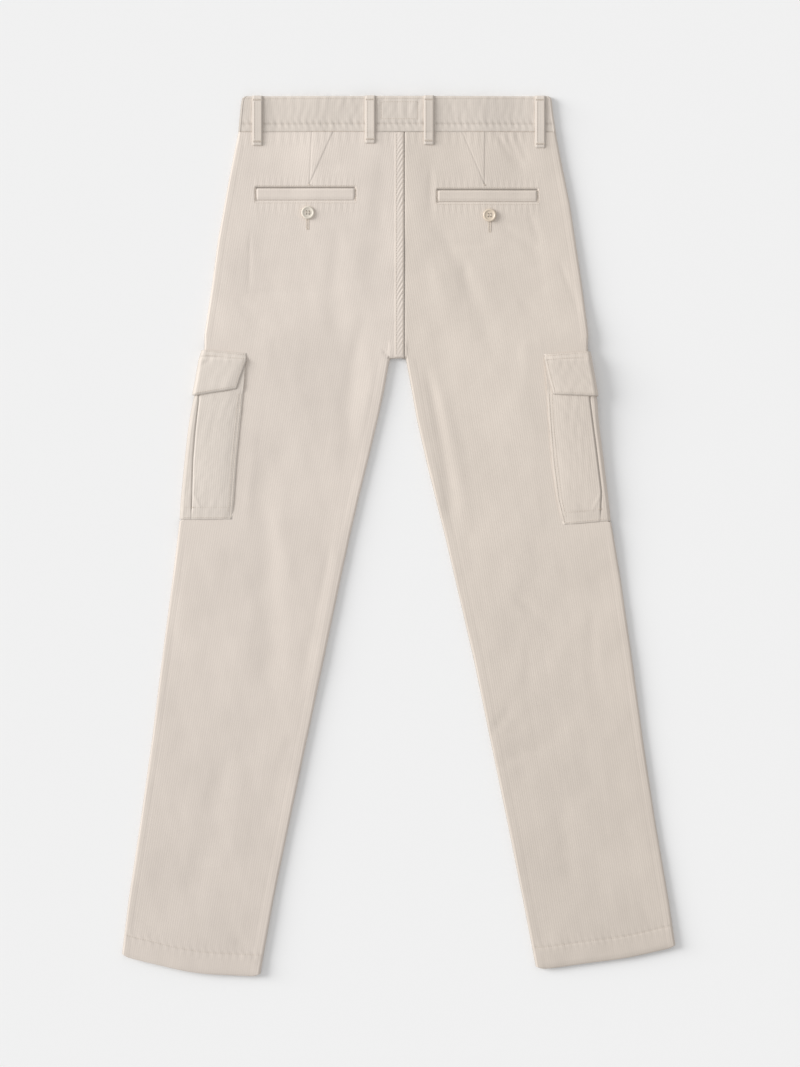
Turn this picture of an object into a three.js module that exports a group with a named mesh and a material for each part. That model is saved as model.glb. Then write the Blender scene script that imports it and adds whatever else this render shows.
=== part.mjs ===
// Corduroy cargo trousers, laid flat on a surface with the back side up.
// Millimetres. X runs across, Y from the hems to the waist, Z up from the surface.
import * as THREE from 'three'

// Driving dimensions
const CLOTH = 1.6 // one layer of corduroy
const HEM_CLOTH = 2.7 // turned-up hem
const WAIST_CLOTH = 2.2 // folded and pressed waistband
const FLAP_CLOTH = 2.4 // doubled pocket flap
const LOOP_CLOTH = 2.0 // folded belt loop
const WELT_CLOTH = 1.2
const GAP = 0.3 // between pieces that touch
const EDGE_ROUND = 3.0 // how far in the folded edges round over
const BUTTON_RADIUS = 8.0
const BUTTON_HEIGHT = 2.6
const HEM_DEPTH = 27
const WAIST_SEAM_Y = 505.3
const WAIST_TOP_Y = 550.3
const CROTCH_Y = 223
const FORK = { left: -12, right: 10, rampX: 8, fromY: 220, toY: 224, rampY: 4 }
const SHANK_TOP_Y = 8 // the rows slant towards the hem below this
const BACK_SEAM_X = 7.2
const FRONT_SEAM_X = 2.0
const FELL_WIDTH = 12.4 // felled band of the centre back seam
const FELL_RISE = 0.8
const ARC_STEPS = 3

// Where the garment is raised over the pieces that lie under it, and how softly it comes down
const BAG_UNDER = { fromY: 8, toY: 236, rampBelow: 33, rampAbove: 16 }
const FLAP_UNDER = { fromY: 168, toY: 236, rampBelow: 36, rampAbove: 16 }
const SIDE_UNDER = { reach: 74, ramp: 16 } // in from the side edge
const LOOP_UNDER = { fromY: 480, rampY: 30, halfX: 10, rampX: 14 }
const BUTTON_UNDER = { fromY: 505, rampY: 55, halfX: 14, rampX: 12 }

const BAG_LIFT = CLOTH + GAP
const FLAP_LIFT = FLAP_CLOTH + GAP
const LOOP_LIFT = LOOP_CLOTH + GAP
const BUTTON_LIFT = BUTTON_HEIGHT + GAP
const LAP_STEP = WAIST_CLOTH + GAP
const LAP_RISE = 0.8

// Thickness of the laid garment, bottom to top, up the height
const thickness = [
  { y: -560, thick: 6.8 },
  { y: -480, thick: 6.6 },
  { y: -440, thick: 6.0 },
  { y: -100, thick: 6.0 },
  { y: 100, thick: 6.4 },
  { y: 260, thick: 6.9 },
  { y: 420, thick: 6.8 },
  { y: 480, thick: 6.6 },
  { y: 560, thick: 6.6 },
]

// Edges of the wearer's left leg (minus X) and right leg (plus X), as distances along X
const leftLeg = {
  side: -1,
  outer: [
    { y: 505, x: -200.6 }, { y: 482, x: -205.3 }, { y: 450, x: -211.7 }, { y: 413, x: -218.4 },
    { y: 370, x: -226.2 }, { y: 320, x: -232.8 }, { y: 270, x: -240.2 }, { y: 252, x: -243.0 },
    { y: 236, x: -242.8 }, { y: 207, x: -246.4 }, { y: 182, x: -250.2 }, { y: 145, x: -257.0 },
    { y: 95, x: -264.6 }, { y: 45, x: -270.0 }, { y: 12, x: -271.9 }, { y: 8, x: -275.4 },
    { y: -55, x: -283.2 }, { y: -155, x: -296.3 }, { y: -255, x: -308.7 }, { y: -355, x: -322.8 },
    { y: -455, x: -338.0 }, { y: -524, x: -346.3 },
  ],
  inner: [
    { y: 223, x: -10.9 }, { y: 214, x: -12.8 }, { y: 182, x: -18.4 }, { y: 145, x: -26.4 },
    { y: 95, x: -38.3 }, { y: 45, x: -50.8 }, { y: -5, x: -62.2 }, { y: -55, x: -73.0 },
    { y: -155, x: -93.9 }, { y: -255, x: -115.0 }, { y: -355, x: -136.2 }, { y: -455, x: -156.8 },
    { y: -546, x: -173.0 },
  ],
  hem: { outerY: -524.4, innerY: -550.17, bow: -7.2 },
  // Largest folds, troughs with a minus height, as soft lines from one end to the other
  folds: [
    { x1: -42, y1: 466, x2: -42, y2: 380, width: 32, height: 0.8 },
    { x1: -76, y1: 375, x2: -78, y2: 246, width: 38, height: -1.0 },
    { x1: -48, y1: 368, x2: -50, y2: 300, width: 32, height: 0.7 },
    { x1: -48, y1: 262, x2: -66, y2: 70, width: 34, height: -1.0 },
    { x1: -175, y1: 84, x2: -176, y2: -70, width: 46, height: -1.1 },
    { x1: -176, y1: -60, x2: -165, y2: -215, width: 46, height: -1.0 },
    { x1: -218, y1: -283, x2: -252, y2: -430, width: 44, height: -0.9 },
    { x1: -82, y1: -10, x2: -118, y2: -200, width: 32, height: 0.7 },
  ],
}
const rightLeg = {
  side: 1,
  outer: [
    { y: 505, x: 196.4 }, { y: 482, x: 200.6 }, { y: 450, x: 207.0 }, { y: 413, x: 214.4 },
    { y: 370, x: 220.9 }, { y: 320, x: 228.4 }, { y: 270, x: 235.0 }, { y: 252, x: 237.2 },
    { y: 236, x: 236.2 }, { y: 207, x: 238.4 }, { y: 182, x: 242.4 }, { y: 145, x: 245.6 },
    { y: 95, x: 252.5 }, { y: 45, x: 259.3 }, { y: 12, x: 262.6 }, { y: 8, x: 267.4 },
    { y: -55, x: 277.8 }, { y: -155, x: 292.1 }, { y: -255, x: 305.5 }, { y: -355, x: 320.6 },
    { y: -455, x: 337.6 }, { y: -514, x: 346.3 },
  ],
  inner: [
    { y: 223, x: 8.7 }, { y: 214, x: 10.4 }, { y: 182, x: 16.3 }, { y: 145, x: 22.9 },
    { y: 95, x: 34.2 }, { y: 45, x: 46.6 }, { y: -5, x: 59.1 }, { y: -55, x: 70.8 },
    { y: -155, x: 94.0 }, { y: -255, x: 114.6 }, { y: -355, x: 135.4 }, { y: -455, x: 155.4 },
    { y: -541, x: 172.0 },
  ],
  hem: { outerY: -514.2, innerY: -541.2, bow: -3.4 },
  folds: [
    { x1: 27, y1: 478, x2: 27, y2: 400, width: 32, height: 0.7 },
    { x1: 52, y1: 384, x2: 98, y2: 277, width: 36, height: -1.1 },
    { x1: 96, y1: 282, x2: 128, y2: 212, width: 36, height: -1.0 },
    { x1: 45, y1: 340, x2: 70, y2: 256, width: 34, height: 0.9 },
    { x1: 127, y1: 389, x2: 176, y2: 355, width: 32, height: -0.8 },
    { x1: 36, y1: 204, x2: 50, y2: 106, width: 30, height: -1.1 },
    { x1: 50, y1: 110, x2: 70, y2: 2, width: 30, height: -1.0 },
    { x1: 226, y1: -90, x2: 238, y2: -196, width: 40, height: -0.8 },
    { x1: 120, y1: -285, x2: 184, y2: -258, width: 34, height: -0.7 },
  ],
}

// Edges of the waistband up its height
const waistbandRows = [
  { y: 505.6, left: -200.6, right: 196.4 },
  { y: 516, left: -199.8, right: 195.0 },
  { y: 528, left: -198.6, right: 193.2 },
  { y: 540, left: -197.5, right: 191.9 },
  { y: 547.5, left: -196.0, right: 191.0 },
  { y: WAIST_TOP_Y, left: -192.8, right: 188.0 },
]
const LAP_INNER_X = -18
const LAP_OUTER_X = 22

// Cargo pockets: `sewn` is the stitched edge on the leg, `outer` the fold round the side
const leftBag = {
  leg: leftLeg,
  rows: [
    { sewnX: -208.3, sewnY: 20.9, outerX: -274.1, outerY: 20.9 },
    { sewnX: -205.9, sewnY: 45, outerX: -272.7, outerY: 45 },
    { sewnX: -202.4, sewnY: 95, outerX: -267.8, outerY: 95 },
    { sewnX: -198.9, sewnY: 132, outerX: -263.6, outerY: 132 },
    { sewnX: -196.9, sewnY: 150, outerX: -260.9, outerY: 150 },
    { sewnX: -195.2, sewnY: 168, outerX: -257.4, outerY: 168 },
    { sewnX: -193.8, sewnY: 184, outerX: -253.0, outerY: 184 },
    { sewnX: -191.4, sewnY: 214, outerX: -247.4, outerY: 217 },
  ],
  pleat: [{ y: 20, x: -258.4 }, { y: 95, x: -256.3 }, { y: 132, x: -253.2 }, { y: 170, x: -248.8 }],
}
const rightBag = {
  leg: rightLeg,
  rows: [
    { sewnX: 205.4, sewnY: 14.2, outerX: 265.2, outerY: 19.3 },
    { sewnX: 197.6, sewnY: 45, outerX: 262.4, outerY: 45 },
    { sewnX: 191.3, sewnY: 95, outerX: 256.3, outerY: 95 },
    { sewnX: 188.0, sewnY: 132, outerX: 251.4, outerY: 132 },
    { sewnX: 186.8, sewnY: 150, outerX: 249.4, outerY: 150 },
    { sewnX: 185.7, sewnY: 168, outerX: 248.3, outerY: 168 },
    { sewnX: 184.8, sewnY: 184, outerX: 245.6, outerY: 184 },
    { sewnX: 183.3, sewnY: 212, outerX: 240.2, outerY: 215 },
  ],
  pleat: [{ y: 20, x: 251.2 }, { y: 57, x: 252.6 }, { y: 107, x: 246.4 }, { y: 170, x: 238.0 }],
}
const PLEAT_RISE = 0.8 // the fold of the pleat stands this much over the pocket's face
const leftFlap = {
  leg: leftLeg,
  rows: [
    { sewnX: -202.2, sewnY: 184.1, outerX: -258.4, outerY: 175.4 },
    { sewnX: -197.5, sewnY: 199, outerX: -254.3, outerY: 197 },
    { sewnX: -189.9, sewnY: 219.5, outerX: -250.4, outerY: 220 },
    { sewnX: -189.7, sewnY: 224.6, outerX: -248.5, outerY: 227 },
    { sewnX: -189.7, sewnY: 228.6, outerX: -246.6, outerY: 233.1 },
  ],
}
const rightFlap = {
  leg: rightLeg,
  rows: [
    { sewnX: 192.6, sewnY: 177.1, outerX: 249.6, outerY: 174.9 },
    { sewnX: 187.5, sewnY: 196, outerX: 246.2, outerY: 196 },
    { sewnX: 182.4, sewnY: 218, outerX: 242.0, outerY: 218.5 },
    { sewnX: 181.9, sewnY: 223.6, outerX: 240.9, outerY: 226 },
    { sewnX: 181.7, sewnY: 227.3, outerX: 239.7, outerY: 231.3 },
  ],
}
const FLAP_DROP_Y = 222 // above this the flap lies on the leg, below it on the bag

const weltRows = [
  { name: 'welt_left', x1: -178.4, x2: -54.7, y1: 420.3, y2: 434.7 },
  { name: 'welt_right', x1: 48.4, x2: 173.4, y1: 418.4, y2: 432.2 },
]
const backLoops = [
  { x: -176.6, foot: 488.4 }, { x: -35.6, foot: 491.0 }, { x: 37.8, foot: 489.1 }, { x: 176.9, foot: 485.3 },
]
const frontLoops = [{ x: -78, foot: 488.4 }, { x: 78, foot: 488.4 }]
const LOOP_WIDTH = 13
const LOOP_BULGE = 0.9
const waistButton = { x: 3, y: 528 }
const pocketButtons = [
  { name: 'pocket_button_left', leg: leftLeg, x: -113.8, y: 404.5 },
  { name: 'pocket_button_right', leg: rightLeg, x: 113.8, y: 401.3 },
]
const zip = { x: 2, width: 28, foot: 335, top: 503, cloth: 1.0 }

const clamp01 = (t) => Math.min(1, Math.max(0, t))
const mix = (a, b, t) => a + (b - a) * t

// Value of a table's column at y, straight between its rows
function column(rows, name, y) {
  const sorted = [...rows].sort((a, b) => a.y - b.y)
  let k = 0
  while (k < sorted.length - 2 && y > sorted[k + 1].y) k++
  const low = sorted[k]
  const high = sorted[k + 1]
  return mix(low[name], high[name], clamp01((y - low.y) / (high.y - low.y)))
}

// 1 inside from..to, falling straight to 0 over the ramp outside
function plateau(value, from, to, ramp) {
  return clamp01(1 - Math.max(from - value, value - to, 0) / ramp)
}

// Cover of the cargo flap and bag round the side edge, seen from the leg
function heightMask(under, y) {
  return plateau(y, under.fromY, under.toY, y > under.toY ? under.rampAbove : under.rampBelow)
}
const flapMask = (y) => heightMask(FLAP_UNDER, y)
const bagMask = (y) => heightMask(BAG_UNDER, y)
function sideMask(leg, x, y) {
  const inFromEdge = Math.abs(column(leg.outer, 'x', y) - x)
  return plateau(inFromEdge, 0, SIDE_UNDER.reach, SIDE_UNDER.ramp)
}

// Height that the pieces underneath give the garment
function lift(leg, x, y) {
  const pocket = (BAG_LIFT * bagMask(y) + FLAP_LIFT * flapMask(y)) * sideMask(leg, x, y)
  const near = (under, middle) => plateau(x, middle - under.halfX, middle + under.halfX, under.rampX)
  const height = (under) => plateau(y, under.fromY, WAIST_TOP_Y, under.rampY)
  const loops = Math.max(...frontLoops.map((loop) => near(LOOP_UNDER, loop.x))) * height(LOOP_UNDER)
  const button = near(BUTTON_UNDER, waistButton.x) * height(BUTTON_UNDER)
  return Math.max(pocket, LOOP_LIFT * loops, BUTTON_LIFT * button)
}

// Soft trough or ridge along a straight line, with tapered ends
function foldHeight(fold, x, y) {
  const dx = fold.x2 - fold.x1
  const dy = fold.y2 - fold.y1
  const along = ((x - fold.x1) * dx + (y - fold.y1) * dy) / (dx * dx + dy * dy)
  const t = clamp01(along)
  const away = Math.hypot(x - fold.x1 - dx * t, y - fold.y1 - dy * t)
  const across = Math.cos(Math.min(1, away / fold.width) * Math.PI) * 0.5 + 0.5
  const taper = Math.min(1, 4 * t + 0.3, 4 * (1 - t) + 0.3)
  return fold.height * across * taper
}

const bareTop = (leg, x, y) => lift(leg, x, y) + column(thickness, 'thick', y)

function topHeight(leg, x, y) {
  const inPocket = bagMask(y) * sideMask(leg, x, y)
  const nearEdge = plateau(x, column(leg.inner, 'x', y) - 3, column(leg.inner, 'x', y) + 3, 10)
  const calm = Math.max(inPocket, y < CROTCH_Y ? nearEdge : 0)
  const folds = leg.folds.reduce((sum, fold) => sum + foldHeight(fold, x, y), 0)
  return bareTop(leg, x, y) + folds * (1 - calm)
}

// How far the two layers draw together at the foot of the fork, where all four panels meet
function crotchTuck(x, y) {
  const half = column(thickness, 'thick', y) / 2
  const across = plateau(x, FORK.left, FORK.right, FORK.rampX)
  return (half - CLOTH - GAP / 2) * across * plateau(y, FORK.fromY, FORK.toY, FORK.rampY)
}

// Closed wall between an outer and an inner grid of points with the same rows and columns
function wallGeometry(rows) {
  const rowCount = rows.length
  const columns = rows[0].length
  const points = []
  for (const layer of ['outer', 'inner']) {
    for (const row of rows) {
      for (const station of row) points.push(...station[layer])
    }
  }
  const at = (layer, r, c) => layer * rowCount * columns + r * columns + c
  const faces = []
  const quad = (a, b, c, d) => faces.push(a, b, c, a, c, d)
  for (let r = 0; r < rowCount - 1; r++) {
    for (let c = 0; c < columns - 1; c++) {
      quad(at(0, r, c), at(0, r, c + 1), at(0, r + 1, c + 1), at(0, r + 1, c))
      quad(at(1, r, c), at(1, r + 1, c), at(1, r + 1, c + 1), at(1, r, c + 1))
    }
    const last = columns - 1
    quad(at(0, r, 0), at(0, r + 1, 0), at(1, r + 1, 0), at(1, r, 0))
    quad(at(0, r, last), at(1, r, last), at(1, r + 1, last), at(0, r + 1, last))
  }
  for (let c = 0; c < columns - 1; c++) {
    const end = rowCount - 1
    quad(at(0, 0, c), at(1, 0, c), at(1, 0, c + 1), at(0, 0, c + 1))
    quad(at(0, end, c), at(0, end, c + 1), at(1, end, c + 1), at(1, end, c))
  }
  return orientedGeometry(points, faces)
}

// Turns the faces round where the enclosed volume comes out negative
function orientedGeometry(points, faces) {
  const corner = (i) => new THREE.Vector3(...points.slice(3 * i, 3 * i + 3))
  let volume = 0
  for (let f = 0; f < faces.length; f += 3) {
    const [a, b, c] = [corner(faces[f]), corner(faces[f + 1]), corner(faces[f + 2])]
    volume += a.dot(b.cross(c))
  }
  const order = volume > 0 ? [0, 1, 2] : [0, 2, 1]
  const index = []
  for (let f = 0; f < faces.length; f += 3) index.push(...order.map((k) => faces[f + k]))
  const geometry = new THREE.BufferGeometry()
  geometry.setAttribute('position', new THREE.Float32BufferAttribute(points, 3))
  geometry.setIndex(index)
  geometry.computeVertexNormals()
  return geometry
}

// One point of a wall and the point behind it
function station(x, y, z, normalX, normalZ, cloth) {
  return { outer: [x, y, z], inner: [x - normalX * cloth, y, z - normalZ * cloth] }
}

const corduroy = (tone) => new THREE.MeshStandardMaterial({ color: tone, roughness: 0.95, metalness: 0 })
const garment = new THREE.Group()

function add(name, geometry, material) {
  const mesh = new THREE.Mesh(geometry, material)
  mesh.name = name
  garment.add(mesh)
}

// Rows of a leg panel: where each starts at the outer edge and ends at the inner one
function panelRows(leg, seamX, steps) {
  const rows = []
  const hemShare = HEM_DEPTH / (SHANK_TOP_Y - (leg.hem.outerY + leg.hem.innerY) / 2)
  const shank = [1, 1 - hemShare, 1 - hemShare - 0.003, ...steps.shank]
  for (const t of shank) {
    const outerY = mix(SHANK_TOP_Y, leg.hem.outerY, t)
    const innerY = mix(SHANK_TOP_Y, leg.hem.innerY, t)
    const cloth = t > 1 - hemShare - 0.001 ? HEM_CLOTH : CLOTH
    rows.push({ outerY, innerY, bow: leg.hem.bow * t * t, cloth, folded: true })
  }
  for (const y of steps.thigh) rows.push({ outerY: y, innerY: y, bow: 0, cloth: CLOTH, folded: true })
  const plain = { bow: 0, cloth: CLOTH, folded: false }
  for (const fan of forkRows) rows.push({ ...plain, ...fan })
  for (const y of steps.seat) rows.push({ ...plain, outerY: y, innerY: y, atSeam: true })
  for (const row of rows) {
    row.outerX = column(leg.outer, 'x', row.outerY)
    row.innerX = row.atSeam ? seamX : column(leg.inner, 'x', row.innerY)
  }
  return rows
}

// Rows that fan out round the foot of the fork
const forkRows = [
  { outerY: 217, innerY: CROTCH_Y - 1.5 },
  { outerY: 226, innerY: CROTCH_Y, atSeam: true },
  { outerY: 236, innerY: CROTCH_Y + 6, atSeam: true },
]
const backSteps = {
  shank: [0.85, 0.72, 0.59, 0.46, 0.33, 0.2, 0.062, 0],
  thigh: [12, 45, 70, 95, 132, 168, 190, 210],
  seat: [252, 280, 308, 336, 364, 392, 420, 450, 480, WAIST_SEAM_Y],
}
const frontSteps = {
  shank: [0.8, 0.6, 0.4, 0.2, 0.062, 0],
  thigh: [12, 45, 95, 132, 168, 190, 210],
  seat: [252, 336, 392, 450, 480, WAIST_SEAM_Y],
}

// Distances of a panel's columns from its outer edge and from its inner edge
const outerColumns = [22, 48, 74, 90]
const backInnerColumns = [FELL_WIDTH + 1.0, FELL_WIDTH, 7]
// Columns near the waist, at the front loops and the waist button
const waistColumns = { left: [-102, -88, -68, -54, -26, -16], right: [102, 88, 68, 54, 30, 24] }
const WAIST_COLUMNS_Y = 449

// Grid of a panel; `up` is 1 for the back panel on top, -1 for the front panel underneath
function panelGrid(leg, rows, up, fellX) {
  const atWaist = leg.side < 0 ? waistColumns.left : waistColumns.right
  return rows.map((row) => {
    const span = row.innerX - row.outerX
    const inward = Math.sign(span)
    const stations = []
    const place = (x, lean, isInnerEdge) => {
      const u = (x - row.outerX) / span
      const y = mix(row.outerY, row.innerY, u) + row.bow * 4 * u * (1 - u)
      const low = lift(leg, x, y)
      const fell = row.atSeam && !row.folded && Math.abs(x - fellX) < FELL_WIDTH + 0.5 ? FELL_RISE : 0
      const high = topHeight(leg, x, y) + fell
      const tuck = crotchTuck(x, y)
      const middle = (low + bareTop(leg, x, y)) / 2 + (up * GAP) / 2
      const face = up > 0 ? high - tuck : low + tuck
      const normalX = (isInnerEdge ? inward : -inward) * Math.cos(lean)
      stations.push(station(x, y, mix(middle, face, Math.sin(lean)), normalX, up * Math.sin(lean), row.cloth))
    }
    const arc = (k) => (k / ARC_STEPS) * (Math.PI / 2)
    for (let k = 0; k <= ARC_STEPS; k++) {
      place(row.outerX + inward * EDGE_ROUND * (1 - Math.cos(arc(k))), arc(k), false)
    }
    for (const d of outerColumns) place(row.outerX + inward * d, Math.PI / 2, false)
    const from = outerColumns[outerColumns.length - 1]
    const toInner = up > 0 ? backInnerColumns[0] : 16
    const reach = Math.abs(span) - from - toInner
    atWaist.forEach((waistX, k) => {
      const evenX = row.outerX + inward * (from + (reach * (k + 1)) / (atWaist.length + 1))
      place(row.outerY > WAIST_COLUMNS_Y ? waistX : evenX, Math.PI / 2, false)
    })
    const innerColumns = up > 0 ? backInnerColumns : [16]
    for (const e of innerColumns) place(row.innerX - inward * e, Math.PI / 2, false)
    for (let k = ARC_STEPS; k >= 0; k--) {
      const lean = row.folded ? arc(k) : Math.PI / 2
      place(row.innerX - inward * EDGE_ROUND * (1 - Math.cos(arc(k))), lean, true)
    }
    return stations
  })
}

function addPanels() {
  const halfGap = GAP / 2
  const noFell = 1e6
  const sides = [{ leg: leftLeg, word: 'left' }, { leg: rightLeg, word: 'right' }]
  for (const { leg, word } of sides) {
    const backRows = panelRows(leg, BACK_SEAM_X + leg.side * halfGap, backSteps)
    const frontRows = panelRows(leg, FRONT_SEAM_X + leg.side * halfGap, frontSteps)
    const fellX = leg.side < 0 ? BACK_SEAM_X : noFell
    add(`back_${word}`, wallGeometry(panelGrid(leg, backRows, 1, fellX)), corduroy(0xd6cabd))
    add(`front_${word}`, wallGeometry(panelGrid(leg, frontRows, -1, noFell)), corduroy(0xd6cabd))
  }
}

// Waistband: one strip round the waist whose ends lap under the centre front
function addWaistband() {
  const under = [-102, -88, -68, -54, -26, -11]
  const topColumns = [160, 102, 88, 68, 54, 30, 17, -11, -26, -54, -68, -88, -102, -160]
  const legAt = (x) => (x < 0 ? leftLeg : rightLeg)
  const rows = waistbandRows.map((row) => {
    const stations = []
    const low = (x) => lift(legAt(x), x, WAIST_TOP_Y)
    const total = column(thickness, 'thick', row.y)
    const high = (x) => low(x) + total + LAP_RISE * plateau(x, LAP_INNER_X, LAP_OUTER_X + 2, 6)
    const below = (x, step) => stations.push(station(x, row.y, low(x) + step, 0, -1, WAIST_CLOTH))
    const arcAt = (edge, side, quarter) => {
      const angle = (quarter / ARC_STEPS) * (Math.PI / 2)
      const x = edge - side * EDGE_ROUND * (1 - Math.cos(angle))
      const middle = (low(edge) + high(edge)) / 2
      const z = middle + Math.sin(angle) * (high(edge) - middle)
      stations.push(station(x, row.y, z, side * Math.cos(angle), Math.sin(angle), WAIST_CLOTH))
    }
    for (const x of [LAP_INNER_X, -11, 3, 17, LAP_OUTER_X + 4]) below(x, LAP_STEP)
    for (const x of [46, 54, 68, 88, 102, 150]) below(x, 0)
    for (let k = -ARC_STEPS; k <= ARC_STEPS; k++) arcAt(row.right, 1, k)
    for (const x of topColumns) stations.push(station(x, row.y, high(x), 0, 1, WAIST_CLOTH))
    for (let k = ARC_STEPS; k >= -ARC_STEPS; k--) arcAt(row.left, -1, k)
    for (const x of [-150, ...under, 3, 17, LAP_OUTER_X]) below(x, 0)
    return stations
  })
  add('waistband', wallGeometry(rows), corduroy(0xd4c9bc))
}

// Piece that wraps the side edge of a leg, from its sewn edge on top to the one underneath
function wrapGrid(piece, cloth, heights, insetColumns, extraCloth) {
  return piece.rows.map((row) => {
    const side = piece.leg.side
    const stations = []
    const pointY = (x) => mix(row.sewnY, row.outerY, clamp01((x - row.sewnX) / (row.outerX - row.sewnX)))
    const edge = row.outerX - side * cloth
    const top = (x) => heights(x, pointY(x)).top
    const bottom = (x) => heights(x, pointY(x)).bottom
    const rounding = edge - side * (EDGE_ROUND + GAP)
    const flat = insetColumns(row)
    const upper = (x) => {
      const more = extraCloth(x, pointY(x))
      stations.push({ outer: [x, pointY(x), top(x) + cloth + more], inner: [x, pointY(x), top(x)] })
    }
    const lower = (x) => {
      stations.push({ outer: [x, pointY(x), bottom(x) - cloth], inner: [x, pointY(x), bottom(x)] })
    }
    flat.forEach(upper)
    for (let k = ARC_STEPS; k >= -ARC_STEPS; k--) {
      const angle = (k / ARC_STEPS) * (Math.PI / 2)
      const middle = (top(rounding) + bottom(rounding)) / 2
      const reach = (top(rounding) - bottom(rounding)) / 2
      const x = rounding + side * (EDGE_ROUND + GAP) * Math.cos(angle)
      const z = middle + reach * Math.sin(angle)
      const outer = [x + side * Math.cos(angle) * cloth, row.outerY, z + Math.sin(angle) * cloth]
      stations.push({ outer, inner: [x, row.outerY, z] })
    }
    ;[...flat].reverse().forEach(lower)
    return stations
  })
}

function addCargoPockets() {
  const noMore = () => 0
  const pockets = [
    { word: 'left', bag: leftBag, flap: leftFlap },
    { word: 'right', bag: rightBag, flap: rightFlap },
  ]
  for (const { word, bag, flap } of pockets) {
    const { leg } = bag
    const bagHeights = (x, y) => ({
      top: bareTop(leg, x, y) + GAP,
      bottom: lift(leg, x, y) - GAP,
    })
    const flapHeights = (x, y) => {
      const overBag = y < FLAP_DROP_Y ? BAG_LIFT : 0
      return { top: bareTop(leg, x, y) + overBag + GAP, bottom: lift(leg, x, y) - BAG_LIFT - GAP }
    }
    const pleatX = (row) => {
      const flatEnd = row.outerX - leg.side * (CLOTH + EDGE_ROUND + 3)
      return leg.side * Math.min(leg.side * column(bag.pleat, 'x', row.sewnY), leg.side * flatEnd)
    }
    const bagColumns = (row) => [
      row.sewnX,
      mix(row.sewnX, pleatX(row), 0.35),
      mix(row.sewnX, pleatX(row), 0.75),
      pleatX(row) - leg.side * 5,
      pleatX(row) - leg.side * 0.4,
      pleatX(row) + leg.side * 0.4,
    ]
    const pleatRise = (x, y) => {
      const inside = leg.side * (column(bag.pleat, 'x', y) - x)
      const onFace = inside > 0 && inside < 6 ? 1 : 0
      return PLEAT_RISE * onFace * plateau(y, 40, 140, 20)
    }
    const flapColumns = (row) => [row.sewnX, mix(row.sewnX, row.outerX, 0.3), mix(row.sewnX, row.outerX, 0.65)]
    const bagGrid = wrapGrid(bag, CLOTH, bagHeights, bagColumns, pleatRise)
    const flapGrid = wrapGrid(flap, FLAP_CLOTH, flapHeights, flapColumns, noMore)
    add(`cargo_pocket_${word}`, wallGeometry(bagGrid), corduroy(0xd3c7ba))
    add(`cargo_flap_${word}`, wallGeometry(flapGrid), corduroy(0xd5cabd))
  }
}

// Strip whose lower face follows `height`, sampled at the given columns and rows
function stripGeometry(columns, rows, height, cloth) {
  const grid = rows.map((y) => columns.map((x) => {
    const z = height(x, y)
    return { outer: [x, y, z + cloth], inner: [x, y, z] }
  }))
  return wallGeometry(grid)
}

function addWelts() {
  for (const welt of weltRows) {
    const leg = welt.x1 < 0 ? leftLeg : rightLeg
    const columns = Array.from({ length: 13 }, (_, k) => mix(welt.x1, welt.x2, k / 12))
    const height = (x, y) => topHeight(leg, x, y) + GAP
    add(welt.name, stripGeometry(columns, [welt.y1, welt.y2], height, WELT_CLOTH), corduroy(0xd8cdc0))
  }
}

function addBeltLoops() {
  const half = LOOP_WIDTH / 2
  backLoops.forEach((loop, k) => {
    const leg = loop.x < 0 ? leftLeg : rightLeg
    const columns = [loop.x - half, loop.x, loop.x + half]
    const rows = [loop.foot, loop.foot + 6, WAIST_SEAM_Y, 520, 536, WAIST_TOP_Y - 1.2]
    const bulge = (y) => LOOP_BULGE * plateau(y, 512, 536, 8)
    const height = (x, y) => bareTop(leg, x, y) + GAP + bulge(y)
    add(`belt_loop_back_${k + 1}`, stripGeometry(columns, rows, height, LOOP_CLOTH), corduroy(0xd6cabe))
  })
  frontLoops.forEach((loop, k) => {
    const columns = [loop.x - half, loop.x + half]
    const flat = () => 0
    const rows = [loop.foot, WAIST_TOP_Y - 1.2]
    add(`belt_loop_front_${k + 1}`, stripGeometry(columns, rows, flat, LOOP_CLOTH), corduroy(0xd6cabe))
  })
}

// Button with a raised rim, turned round its own axis
function buttonGeometry() {
  const rim = BUTTON_RADIUS - 1.6
  const profile = [
    [0, 0], [BUTTON_RADIUS - 1, 0], [BUTTON_RADIUS, 0.9], [BUTTON_RADIUS - 0.4, BUTTON_HEIGHT - 0.3],
    [BUTTON_RADIUS - 1, BUTTON_HEIGHT], [rim, BUTTON_HEIGHT - 0.5], [rim - 1.2, BUTTON_HEIGHT - 0.9],
    [0, BUTTON_HEIGHT - 0.9],
  ]
  const geometry = new THREE.LatheGeometry(profile.map(([r, z]) => new THREE.Vector2(r, z)), 18)
  geometry.rotateX(Math.PI / 2)
  return geometry
}

function addButtons() {
  const horn = new THREE.MeshStandardMaterial({ color: 0xd9c7a8, roughness: 0.4, metalness: 0 })
  for (const button of pocketButtons) {
    const reach = [-BUTTON_RADIUS, 0, BUTTON_RADIUS]
    const tops = reach.flatMap((dx) => reach.map((dy) => topHeight(button.leg, button.x + dx, button.y + dy)))
    add(button.name, buttonGeometry(), horn)
    garment.getObjectByName(button.name).position.set(button.x, button.y, Math.max(...tops) + GAP)
  }
  add('waist_button', buttonGeometry(), horn)
  const waist = garment.getObjectByName('waist_button')
  waist.position.set(waistButton.x, waistButton.y, BUTTON_HEIGHT)
  waist.rotation.x = Math.PI
}

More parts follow.
